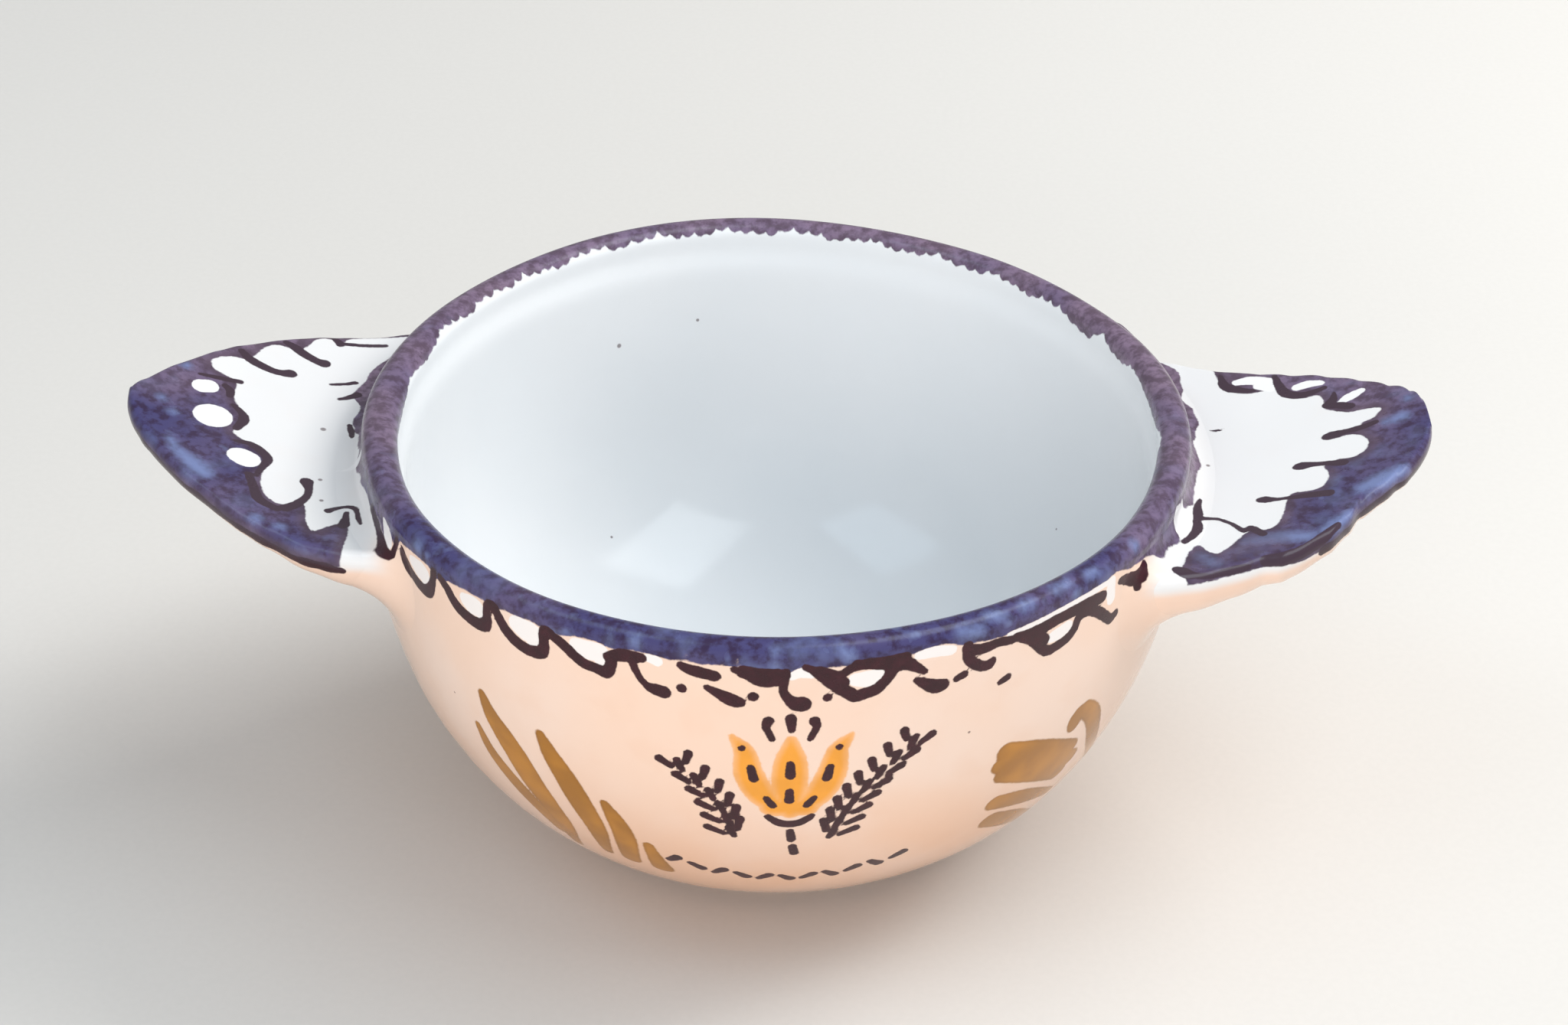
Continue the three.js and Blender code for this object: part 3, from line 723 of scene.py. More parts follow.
def brush(points, strokes):
    """Distance in millimetres from each point to the strokes' edges, negative under paint."""
    away = np.full(len(points), FAR)
    for path, width in strokes:
        low = path.min(0) - width.max() - FAR
        high = path.max(0) + width.max() + FAR
        near = np.flatnonzero(((points > low) & (points < high)).all(1))
        if not len(near):
            continue
        spot = points[near]
        best = np.linalg.norm(spot - path[0], axis=1) - width[0]
        for a, b, wa, wb in zip(path[:-1], path[1:], width[:-1], width[1:]):
            run = b - a
            share = np.clip((spot - a) @ run / max(run @ run, 1e-9), 0, 1)
            gap = np.linalg.norm(spot - a - share[:, None] * run, axis=1) - (wa + (wb - wa) * share)
            best = np.minimum(best, gap)
        away[near] = np.minimum(away[near], best)
    return away


def laid(strokes, surface, spread=0.0):
    """Strokes laid on a surface, as paths and half widths, spread by some millimetres."""
    found = []
    for stroke in strokes:
        run = resample(stroke)
        found.append((surface(run[:, 0], run[:, 1]), run[:, 2] + spread))
    return found


def outline_distance(x, y, outline):
    """Distance from plan points to a rounded outline, negative inside it."""
    keys = np.asarray(outline, float)
    for _ in range(2):
        after = np.roll(keys, -1, 0)
        keys = np.stack([0.8 * keys + 0.2 * after, 0.2 * keys + 0.8 * after], 1).reshape(-1, 2)
    after = np.roll(keys, -1, 0)
    away = np.full(len(x), 1e9)
    inside = np.zeros(len(x), bool)
    for (ax, ay), (bx, by) in zip(keys, after):
        run_x, run_y = bx - ax, by - ay
        share = np.clip(((x - ax) * run_x + (y - ay) * run_y) / max(run_x ** 2 + run_y ** 2, 1e-9), 0, 1)
        away = np.minimum(away, np.hypot(x - ax - share * run_x, y - ay - share * run_y))
        crosses = (ay > y) != (by > y)
        inside ^= crosses & (x < ax + run_x * (y - ay) / (run_y if run_y else 1e-9))
    return np.where(inside, -away, away)


def border_loops(first, last, count, rng):
    """The looped border carried on round the back: loops with their drops, and a comma now and then."""
    lines, drops = [], []
    pitch = (last - first) / count
    for k in range(count):
        at = first + k * pitch + rng.uniform(-0.4, 0.4)
        deep = 6.9 + rng.uniform(-0.5, 0.6)
        wide = pitch * rng.uniform(0.78, 0.9)
        if k % 4 == 3:
            lines.append([(at + 1, 3.2, 0.5), (at + 2.4, 5, 0.45), (at + 4, 7.2, 0.9)])
            lines.append([(at + wide - 0.8, deep, 0.5)])
            continue
        lines.append([
            (at, 3.1, 0.45), (at + 0.22 * wide, 4.4, 0.5), (at + 0.45 * wide, deep - 0.8, 0.55),
            (at + 0.7 * wide, deep, 0.6), (at + 0.93 * wide, deep - 0.6, 0.55), (at + wide, 3.3, 0.45),
        ])
        drops.append(
            [(at + 0.45 * wide, 3.9, 0.6), (at + 0.62 * wide, 4.6, 1.05), (at + 0.74 * wide, 5.3, 0.7)]
        )
    return lines, drops


def seed_head(start, end, bend, count):
    """Slanting dashes in pairs along a curved stem."""
    strokes = []
    (a0, d0), (a1, d1) = start, end
    lean = math.copysign(1, a1 - a0)
    for k in range(count):
        t = (k + 0.5) / count
        at = a0 + (a1 - a0) * t + bend * 2.2 * math.sin(math.pi * t)
        down = d0 + (d1 - d0) * t
        reach = 2.3 * (1 - 0.35 * t)
        strokes.append([(at - 0.35 * lean, down + 0.9, 0.3), (at + 0.3 * lean, down - 0.7, 0.42)])
        strokes.append([(at + 1.1 * lean, down + 0.5, 0.3), (at + (1.1 + reach) * lean, down - 0.6, 0.48)])
        strokes.append([(at - 0.9 * lean, down - 0.6, 0.3), (at - 1.3 * lean, down - 0.6 - reach, 0.48)])
    return strokes


def garland(first, last, depth, count):
    """A hanging row of dashes, each pair set like a small open V."""
    strokes = []
    for k in range(count):
        t = k / (count - 1)
        at = first + (last - first) * t
        down = depth + 3.2 * math.sin(math.pi * t)
        lean = 1.1 if k % 2 else -1.1
        strokes.append([(at - 0.8, down - lean * 0.5, 0.35), (at + 0.8, down + lean * 0.5, 0.6)])
    return strokes


class Brushwork:
    """All strokes, laid on the bowl's own surfaces."""

    def __init__(self, bowl):
        rng = np.random.default_rng(7)
        back_lines, back_drops = border_loops(*BORDER_BACK, rng)
        dashes = FLOWER_LINES + garland(*GARLAND)
        for stem in SEED_STEMS:
            dashes = dashes + seed_head(*stem)
        self.bowl = bowl
        border = laid(BORDER_FRONT + BORDER_SHADES + back_lines, bowl.on_outside, LINE_SPREAD)
        self.wall = {
            "Line": border + laid(dashes, bowl.on_outside, DASH_SPREAD),
            "Reserve": laid(BORDER_DROPS + back_drops, bowl.on_outside, RESERVE_SPREAD),
            "Leaf": laid(LEAVES, bowl.on_outside, LEAF_SPREAD),
            "Ochre": laid(FLOWER_PETALS, bowl.on_outside),
            # Pale touches painted on the cobalt as highlights.
            "Thin": laid(WALL_PAINTED_HIGHLIGHTS, bowl.on_outside),
        }
        self.lugs = {name: [] for name in self.wall}
        for side in (-1, 1):
            surface = partial(bowl.on_lug, side=side)
            self.lugs["Line"] += laid(LUG_LINES[side], surface)
            self.lugs["Line"].append(self.lug_edge_line(side))
            self.lugs["Reserve"] += laid(LUG_SPOTS[side], surface)
            # Pale touches painted on the lug's cobalt as highlights.
            self.lugs["Thin"] += laid(LUG_PAINTED_HIGHLIGHTS[side], surface)

    def lug_edge_line(self, side):
        """The dark line that runs under the front edge of a lug."""
        bowl = self.bowl
        along = np.linspace(EDGE_LINE_START[side], 0.99, 150)
        fall = 0.95 - 0.4 * smooth(0.3, 0.8, along)
        half, lean = bowl.lug_flank(along, side, False)
        under = bowl.lug_under(along, side)
        inside = under * (1 - np.sqrt(1 - (fall / under) ** 2)) * np.hypot(1, lean)
        across = np.maximum(inside / half, 0.001) - 1
        path = bowl.lug_points(along, across, np.full(len(along), -1.0), side)
        return path, 0.72 + 0.12 * np.sin(along * 31 + side) + 0.07 * np.sin(along * 83)

    def lay(self, piece, points, rim, warm_bounce, border=None, side=1, on_wall=None, on_lug=None):
        """Stores the paint layers on a piece: the distances to the rim's band, to a lug's border and to
        the strokes near it. A fillet gives the points of the wall and of the lug whose strokes it
        carries on."""
        on_wall = points if on_wall is None else on_wall
        on_lug = points if on_lug is None else on_lug
        border = np.full(len(points), FAR) if border is None else border
        on_border = smooth(-0.5, 0.5, rim - border)
        plum = self.rim_plum(points) * (1 - on_border) + self.lug_plum(points, side) * on_border
        paint_layer(piece, "Cobalt", np.clip(np.minimum(rim, border), -FAR, FAR))
        paint_layer(piece, "Plum", plum)
        paint_layer(piece, "Border", on_border)
        paint_layer(piece, "Warmth", warm_bounce)
        for name in self.wall:
            away = np.minimum(brush(on_wall, self.wall[name]), brush(on_lug, self.lugs[name]))
            paint_layer(piece, name, away)

    def warm_bounce(self, points):
        """Share of painted warm bounce light on the outside: strongest near the foot, and faint beside the
        lugs, where the glaze shows nearly white.
        """
        degrees = np.abs(np.degrees(np.arctan2(points[:, 0], -points[:, 1])))
        depth = self.bowl.height - points[:, 2]
        beside = smooth(56, 66, degrees) * (1 - smooth(114, 124, degrees)) * smooth(17, 9, depth)
        return (0.5 + 0.5 * smooth(10, 52, depth)) * (1 - 0.8 * beside)

    def lug_warm_bounce(self, points, side):
        """The glaze is white on a lug, with a little painted warm bounce light round its edge and below."""
        above = points[:, 2] - self.bowl.lug_middle(side * points[:, 0])
        return 0.1 + 0.5 * smooth(0.3, -2.4, above)

    def rim_cobalt(self, points):
        """Distance to the rim's band on the outside of the wall, from the point's place alone."""
        degrees = np.degrees(np.arctan2(points[:, 0], -points[:, 1]))
        depth = self.bowl.height + around(LIP_HEIGHT, degrees) - points[:, 2]
        a = np.radians(degrees)
        lumps = 0.6 * np.sin(a * 26 + 0.9) ** 2 + 0.2 * np.sin(a * 57 + 1) + 0.1 * np.sin(a * 97)
        reach = around(BAND_ONTO_LUG, degrees) + 0.5 * lumps
        out = np.hypot(points[:, 0], points[:, 1]) - self.bowl.rim_radius - reach
        return np.maximum(depth - around(BAND_OUTSIDE, degrees) - 0.25 * lumps, out)

    def hollow_cobalt(self, degrees, depth):
        """Distance to the rim's band on the inside: toothed at the back and lumpy at the sides."""
        a = np.radians(degrees)
        teeth = 0.6 * np.abs(np.sin(a * 88 + 0.9 * np.sin(a * 13)))
        teeth = teeth + 0.3 * np.sin(a * 31 + 2) + 0.15 * np.sin(a * 71)
        teeth = teeth * (0.3 + 0.7 * smooth(-0.1, -0.7, np.cos(a)))
        teeth = teeth + 0.45 * np.sin(a * 23 + 0.8 * np.sin(a * 9)) * smooth(0.6, 0.9, np.abs(np.sin(a)))
        return depth - around(BAND_INSIDE, degrees) - teeth

    def rim_plum(self, points):
        return around(BLUE_TO_PLUM, np.degrees(np.arctan2(points[:, 0], -points[:, 1])))

    def lug_cobalt(self, points, side):
        """Distance to a lug's border: its upper face without the white middle."""
        x, y = side * points[:, 0], points[:, 1]
        free = outline_distance(x, y, LUG_WHITE[side])
        return np.maximum(-free, self.bowl.lug_middle(x) - through(LUG_SKIRT[side], x) - points[:, 2])

    def lug_plum(self, points, side):
        """The border is bluest along the front edge and plum towards the back."""
        return 0.15 + 0.65 * smooth(-9, 9, points[:, 1]) * (1 - 0.5 * smooth(80, 88, side * points[:, 0]))


# ---- Materials ----

WHITE = (1, 1, 1, 1)

# The noises of the materials: scale in waves for each metre, detail and roughness.
GRAIN = {
    "wide": (45, 2, 0.5), "drift": (70, 2, 0.5), "dabs": (150, 2, 0.5), "patch": (240, 3, 0.5),
    "cloud": (260, 3, 0.5), "sponge": (620, 3, 0.6), "tooth": (900, 3, 0.5), "ragged": (1300, 3, 0.5),
    "grit": (1500, 4, 0.7), "hair": (2300, 2, 0.5),
}


class Nodes:
    """Adds nodes to a material and joins them."""

    def __init__(self, name):
        self.material = bpy.data.materials.new(name)
        self.material.use_nodes = True
        self.tree = self.material.node_tree
        self.tree.nodes.clear()
        self.place = self.add("ShaderNodeTexCoord").outputs["Object"]

    def add(self, kind, settings=None, **inputs):
        node = self.tree.nodes.new(kind)
        for key, value in (settings or {}).items():
            setattr(node, key, value)
        for key, value in inputs.items():
            socket = node.inputs[int(key[1:])] if key[0] == "_" else node.inputs[key.replace("_", " ")]
            if isinstance(value, bpy.types.NodeSocket):
                self.tree.links.new(value, socket)
            else:
                socket.default_value = value
        return node

    def number(self, operation, a, b=0.0, clamp=False):
        settings = {"operation": operation, "use_clamp": clamp}
        return self.add("ShaderNodeMath", settings, _0=a, _1=b).outputs[0]

    def plus(self, a, b, clamp=False):
        return self.number("ADD", a, b, clamp)

    def times(self, a, b):
        return self.number("MULTIPLY", a, b)

    def span(self, value, low, high, to_low=0.0, to_high=1.0):
        node = self.add("ShaderNodeMapRange", {"interpolation_type": "SMOOTHSTEP"}, Value=value)
        for key, number in (("From Min", low), ("From Max", high), ("To Min", to_low), ("To Max", to_high)):
            node.inputs[key].default_value = number
        return node.outputs["Result"]

    def blend(self, share, a, b):
        node = self.add("ShaderNodeMix", {"data_type": "RGBA"})
        for index, value in ((0, share), (6, a), (7, b)):
            if isinstance(value, bpy.types.NodeSocket):
                self.tree.links.new(value, node.inputs[index])
            else:
                node.inputs[index].default_value = value
        return node.outputs[2]

    def noise(self, name):
        scale, detail, rough = GRAIN[name]
        return self.add(
            "ShaderNodeTexNoise", Vector=self.place, Scale=scale, Detail=detail, Roughness=rough
        ).outputs["Fac"]

    def sway(self, name, size):
        """A noise that runs to both sides of nothing."""
        return self.times(self.number("SUBTRACT", self.noise(name), 0.5), size)

    def layer(self, name):
        return self.add("ShaderNodeAttribute", {"attribute_name": name}).outputs["Fac"]

    def bump(self, strength, distance, height, **inputs):
        node = self.add("ShaderNodeBump", Strength=strength, Distance=distance, Height=height, **inputs)
        return node.outputs[0]

    def surface(self, coat, rough, normal, **inputs):
        """Ends the material with its shader."""
        shader = self.add(
            "ShaderNodeBsdfPrincipled", Base_Color=coat, Roughness=rough, Normal=normal, **inputs
        )
        self.add("ShaderNodeOutputMaterial", Surface=shader.outputs[0])
        return self.material


def tone(value, share=1.0):
    """A colour of a property, darker or lighter by a share, with an opaque alpha."""
    return (value[0] * share, value[1] * share, value[2] * share, 1)


def painted_glaze(glaze, pinholes):
    """Milky glaze with the brushwork under it, from the paint layers on the piece."""
    n = Nodes("painted_glaze")
    wide, cloud, sponge, dabs = (n.noise(name) for name in ("wide", "cloud", "sponge", "dabs"))
    ragged = n.sway("ragged", 0.45)

    def pushed(name, push):
        """A layer's distance, pushed about a little as a brush's edge is."""
        return n.plus(n.layer(name), n.times(ragged, push))

    def covered(name, soft, push=0.6):
        """How much a layer covers."""
        return n.span(pushed(name, push), soft, -soft)

    # White glaze with painted light in it: a painted cool sky tint in the hollow, painted warm bounce light
    # outside that is strongest near the foot, and faint clouds.
    warm_bounce = n.layer("Warmth")
    base = n.blend(n.span(warm_bounce, 0, 0.5), tone(glaze.milk_skylight), tone(glaze.cream_bounce))
    base = n.blend(n.span(warm_bounce, 0.55, 1), base, tone(glaze.peach_bounce))
    base = n.blend(n.span(wide, 0.4, 0.7, 0, 0.3), base, n.blend(0.5, base, WHITE))
    # Random patches of stronger painted warm bounce light on the outside.
    base = n.blend(n.times(n.span(dabs, 0.5, 0.75, 0, 0.25), warm_bounce), base, tone(glaze.peach_bounce))

    # Ochre is thin and creamy at its edge and clouded in its middle.
    creamy = n.blend(0.35, tone(glaze.ochre), tone(glaze.cream_bounce))
    ochre = n.blend(n.span(n.layer("Ochre"), 0.1, -1.2), creamy, tone(glaze.ochre))
    ochre = n.blend(n.span(cloud, 0.45, 0.7, 0, 0.35), ochre, tone(glaze.ochre, 0.8))
    coat = n.blend(n.times(covered("Ochre", 0.18, 0.8), 0.98), base, ochre)

    # Olive dabs are wet in the middle and darker where the paint has gathered at the edge.
    leaf = n.blend(n.span(dabs, 0.35, 0.7), tone(glaze.leaf, 0.82), tone(glaze.leaf, 1.15))
    pooled = n.times(n.span(n.layer("Leaf"), -0.6, -0.1), 0.4)
    leaf = n.blend(pooled, leaf, tone(glaze.leaf, 0.5))
    coat = n.blend(n.times(covered("Leaf", 0.18), 0.99), coat, leaf)

    # Cobalt: dabbed on, so its depth changes from touch to touch, and it burns to plum in places.
    blue = n.blend(n.span(sponge, 0.36, 0.6), tone(glaze.cobalt_deep), tone(glaze.cobalt))
    blue = n.blend(n.span(dabs, 0.54, 0.74, 0, 0.4), blue, tone(glaze.cobalt_thin_and_highlight))
    blue = n.blend(n.span(cloud, 0.58, 0.74, 0, 0.55), blue, tone(glaze.cobalt_thin_and_highlight))
    burnt = n.blend(n.span(sponge, 0.35, 0.68), tone(glaze.plum, 0.55), tone(glaze.plum, 1.2))
    blue = n.blend(n.plus(n.layer("Plum"), n.sway("drift", 1.5), True), blue, burnt)
    # Painted highlights: pale patches on the cobalt that stand for reflected light.
    blue = n.blend(n.span(pushed("Thin", 2.5), 1.3, -1.1, 0, 0.9), blue, tone(glaze.cobalt_thin_and_highlight, 1.1))
    gathered = n.times(n.span(pushed("Cobalt", 1), -2.3, -0.3, 0, 0.8), n.layer("Border"))
    heavy = n.blend(n.span(cloud, 0.4, 0.65), tone(glaze.plum, 0.3), tone(glaze.plum, 0.6))
    blue = n.blend(gathered, blue, heavy)

    # The white drops are left free of cobalt. The dark lines go over all.
    free = n.span(pushed("Reserve", 0.6), -0.1, 0.1)
    coat = n.blend(free, n.blend(0.8, base, WHITE), coat)
    band = n.times(covered("Cobalt", 0.14, 1), free)
    coat = n.blend(band, coat, blue)
    line = covered("Line", 0.1)
    dark = n.blend(n.span(sponge, 0.35, 0.75), tone(glaze.outline, 0.7), tone(glaze.outline, 1.4))
    dark = n.blend(n.span(warm_bounce, 0.1, 0.4), tone(glaze.plum, 0.22), dark)
    coat = n.blend(line, coat, dark)

    hole = 1.0
    for at, radius in pinholes:
        metres = [v * MM for v in at]
        away = n.add("ShaderNodeVectorMath", {"operation": "DISTANCE"}, _0=n.place, _1=metres)
        hole = n.number("MINIMUM", hole, n.number("DIVIDE", away.outputs["Value"], radius * MM))
    coat = n.blend(n.span(hole, 1.3, 0.5, 0, 0.75), coat, tone(glaze.outline, 1.8))

    # Gloss: a little duller over heavy paint, with a slow ripple and a fine skin.
    paint = n.number("MAXIMUM", band, line)
    rough = n.plus(n.span(cloud, 0.3, 0.8, 0.1, 0.18), n.times(paint, 0.12))
    relief = n.plus(n.times(paint, 0.5), n.times(cloud, 0.25))
    ripple = n.bump(0.3, 0.0004, wide)
    raised = n.bump(0.25, 0.0001, relief, Normal=ripple)
    skin = n.bump(0.1, 0.00003, n.noise("hair"), Normal=raised)
    return n.surface(coat, rough, skin, IOR=1.5, Specular_IOR_Level=0.4)


def foot_clay(glaze):
    """Glazed side and bare, rubbed rest face. The glaze ends in a wavy line just over the table."""
    n = Nodes("foot_clay")
    height = n.add("ShaderNodeSeparateXYZ", Vector=n.place).outputs["Z"]
    grit, patch = n.noise("grit"), n.noise("patch")
    glazed = n.span(n.plus(height, n.sway("patch", 0.0009)), 0.0005, 0.0009)
    clay = n.blend(n.span(grit, 0.35, 0.7), tone(glaze.clay, 0.75), tone(glaze.clay, 1.1))
    # The glazed side has the outside's cream, with its painted warm bounce light.
    side = n.blend(n.span(patch, 0.4, 0.7, 0, 0.4), tone(glaze.cream_bounce), tone(glaze.cream_bounce, 0.85))
    rough = n.number("SUBTRACT", n.span(grit, 0.3, 0.7, 0.7, 0.9), n.times(glazed, 0.6))
    return n.surface(n.blend(glazed, clay, side), rough, n.bump(0.4, 0.0001, grit))


def paper(stage):
    n = Nodes("paper")
    tooth = n.noise("tooth")
    coat = n.blend(n.span(tooth, 0.3, 0.7), tone(stage.paper, 0.985), tone(stage.paper))
    return n.surface(coat, 0.85, n.bump(0.1, 0.0001, tooth), Specular_IOR_Level=0.15)


def glaze_material(context):
    """The one glaze of all pieces, with its pinholes where the bowl's sizes put them."""
    made = bpy.data.materials.get("painted_glaze")
    if made:
        return made
    bowl = Bowl(context.scene.bowl_form)
    pinholes = [(bowl.on_inside(a, d), r) for a, d, r in HOLLOW_PINHOLES]
    pinholes += [(bowl.on_outside(a, d), r) for a, d, r in WALL_PINHOLES]
    for side in (-1, 1):
        pinholes += [(bowl.on_lug(x, y, side), r) for x, y, r in LUG_PINHOLES[side]]
    return painted_glaze(context.scene.bowl_glaze, [(at.tolist(), r) for at, r in pinholes])


def seat(piece, slot, *nodes):
    """Lets a piece ride on the bowl's body and stand for its nodes."""
    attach(piece, "root")
    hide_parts(*nodes)


# ---- Operators ----

# Degrees round at which the wall has its points: first and last, and the step. The front is finer.
FRONT_DEGREES, BACK_DEGREES = (-70, 75, 0.42), (75, 290, 0.5)

# Every fourth of these angles is enough where the wall is plain. The low front is painted here:
PAINTED_DEGREES = (-48, 68)

# Rings of the wall: painted belly, rim's outside, lip, rim's inside, and hollow.
BELLY_RINGS, RIM_RINGS, LIP_RINGS, BAND_RINGS, HOLLOW_RINGS = 92, 24, 9, 10, 64
BELLY_TOP, RIM_FOOT = 50, 50.4
BAND_DEPTH, HOLLOW_TOP = 4, 4.5

FOOT_STATIONS, FOOT_CORNER_STEPS = 192, 7
LUG_STATIONS, LUG_RINGS, LUG_LAST_RING = 210, 124, 0.992
SEAM_STATIONS, SEAM_STEPS = 180, 26

# Legs of the fillet round a lug's root: beside it, over it and under it.
SEAM_ON_LUG, SEAM_ON_WALL = (4.5, 4.8, 7.5), (4.5, 4.4, 6.5)


class BOWL_OT_wall(bpy.types.Operator):
    """Throw the bowl's wall, with its lip, hollow and turned underside, and paint it"""
    bl_idname = "bowl.throw_wall"
    bl_label = "Throw the bowl"

    def execute(self, context):
        bowl = Bowl(context.scene.bowl_form)
        work = Brushwork(bowl)
        angles = np.concatenate([np.arange(*FRONT_DEGREES), np.arange(*BACK_DEGREES)])
        angles = angles[: len(angles) // 4 * 4]
        every = np.ones(len(angles), bool)
        quarter = np.arange(len(angles)) % 4 == 0
        painted = quarter | ((angles > PAINTED_DEGREES[0]) & (angles < PAINTED_DEGREES[1]))

        def turned(levels, mask, outside):
            surface = bowl.on_outside if outside else bowl.on_inside
            depths = bowl.height - np.asarray(levels)
            return [(surface(angles, depth), mask, outside, depth) for depth in depths]

        parts = []
        for radius, rise in UNDERSIDE:
            z = bowl.foot_height + rise
            parts.append((bowl.place(radius, angles, z), quarter, True, bowl.height - z))
        parts += turned(np.linspace(bowl.heel_level, BELLY_TOP, BELLY_RINGS), painted, True)
        parts += turned(np.linspace(RIM_FOOT, bowl.shoulder, RIM_RINGS), every, True)
        over_lip = bowl.shoulder + bowl.lip * np.sin(np.linspace(0, np.pi / 2, LIP_RINGS))
        parts += turned(over_lip[1:], every, True)
        parts += turned(over_lip[-2:0:-1], every, False)
        parts += turned(np.linspace(bowl.shoulder, bowl.shoulder - BAND_DEPTH, BAND_RINGS), every, False)
        top = bowl.shoulder - HOLLOW_TOP
        deep = top - (top - bowl.hollow_floor) * np.sin(np.linspace(0, np.pi / 2, HOLLOW_RINGS))
        parts += turned(deep[:-1], quarter, False)

        rings, masks, outsides, depths = zip(*parts)
        points, faces, starts = revolve(rings, masks)
        cap(faces, starts[0], int(quarter.sum()), len(points), False)
        cap(faces, starts[-1], int(quarter.sum()), len(points) + 1, True)
        middles = [[0, 0, bowl.foot_height + RECESS_DEPTH], [0, 0, bowl.hollow_floor]]
        points = np.concatenate([points, middles])
        piece = make_object("bowl_body", points, faces, glaze_material(context))

        counts = [int(mask.sum()) for mask in masks]
        degrees = np.concatenate([angles[mask] for mask in masks] + [[0, 0]])
        outside = np.concatenate([np.repeat(outsides, counts), [True, False]])
        depth = np.concatenate([np.repeat(depths, counts), bowl.height - points[-2:, 2]])
        rim = np.where(outside, work.rim_cobalt(points), work.hollow_cobalt(degrees, depth))
        # Painted warm bounce light outside. The hollow gets none, so it keeps the painted cool sky tint.
        work.lay(piece, points, rim, np.where(outside, work.warm_bounce(points), 0))
        seat(piece, "wall_glaze", "bowl_wall")
        return {"FINISHED"}


class BOWL_OT_foot(bpy.types.Operator):
    """Turn the foot ring"""
    bl_idname = "bowl.turn_foot"
    bl_label = "Turn the foot ring"

    def execute(self, context):
        bowl = Bowl(context.scene.bowl_form)
        top = bowl.foot_height - FOOT_SLIP
        profile = [(bowl.foot_inner, top), (bowl.foot_inner, FOOT_FLARE_LEVEL)]
        quarter = math.pi / 2
        inner, outer = bowl.foot_inner + FOOT_EDGE, bowl.foot_radius - FOOT_EDGE
        for middle, start in ((inner, -2 * quarter), (outer, -quarter)):
            for t in np.linspace(start, start + quarter, FOOT_CORNER_STEPS):
                profile.append((middle + FOOT_EDGE * math.cos(t), FOOT_EDGE + FOOT_EDGE * math.sin(t)))
        profile += [(bowl.foot_radius + FOOT_FLARE, FOOT_FLARE_LEVEL), (bowl.foot_seat, top)]
        a = np.radians(np.linspace(-180, 180, FOOT_STATIONS + 1)[:-1])
        wear = 0.03 * np.sin(5 * a) + 0.02 * np.sin(13 * a + 1)
        rings = [
            np.stack([(r + wear) * np.sin(a), -(r + wear) * np.cos(a), np.full(len(a), z)], -1)
            for r, z in profile
        ]
        faces = net(len(rings), len(a), closed=True)
        piece = make_object("foot_coil", np.concatenate(rings), faces, foot_clay(context.scene.bowl_glaze))
        seat(piece, "foot_clay", "foot_ring")
        return {"FINISHED"}


def lug_loop(stations):
    """Across and face values round a lug's section: over the top from +1 to -1, then back under."""
    share = np.arange(stations) / stations
    top = np.sin(np.pi * (0.5 - share))
    return np.concatenate([top, -top]), np.concatenate([np.ones(stations), -np.ones(stations)])


class BOWL_OT_lugs(bpy.types.Operator):
    """Shape both lugs and paint their borders"""
    bl_idname = "bowl.shape_lugs"
    bl_label = "Shape the lugs"

    def execute(self, context):
        bowl = Bowl(context.scene.bowl_form)
        work = Brushwork(bowl)
        for side, name in ((1, "right"), (-1, "left")):
            across, face = lug_loop(LUG_STATIONS)
            count = len(across)
            along = np.sin(np.pi / 2 * np.linspace(0, LUG_LAST_RING, LUG_RINGS))
            rings = [bowl.lug_points(np.full(count, t), across, face, side) for t in along]
            rings.append(bowl.lug_points(np.array([1.0]), np.array([0.0]), np.array([1.0]), side))
            points = np.concatenate(rings)
            faces = net(len(along), count, flipped=side < 0)
            cap(faces, (len(along) - 1) * count, count, len(points) - 1, side > 0)
            # The root is closed with strips from the upper side to the lower one.
            for i in range(count // 2):
                strip = list(dict.fromkeys([i, (count - i) % count, count - i - 1, i + 1]))
                faces.append(strip if side > 0 else strip[::-1])
            piece = make_object(f"lug_{name}_body", points, faces, glaze_material(context))
            # Painted warm bounce light on the lug.
            warm_bounce = work.lug_warm_bounce(points, side)
            work.lay(piece, points, work.rim_cobalt(points), warm_bounce, work.lug_cobalt(points, side), side)
            seat(piece, "lug_glaze", f"lug_{name}")
        return {"FINISHED"}


def unit(a, b):
    size = np.hypot(a, b)
    return a / size, b / size


def evened(loop):
    """A loop of values, each averaged with two neighbours to either side."""
    return np.convolve(np.concatenate([loop[-2:], loop, loop[:2]]), np.ones(5) / 5, "valid")


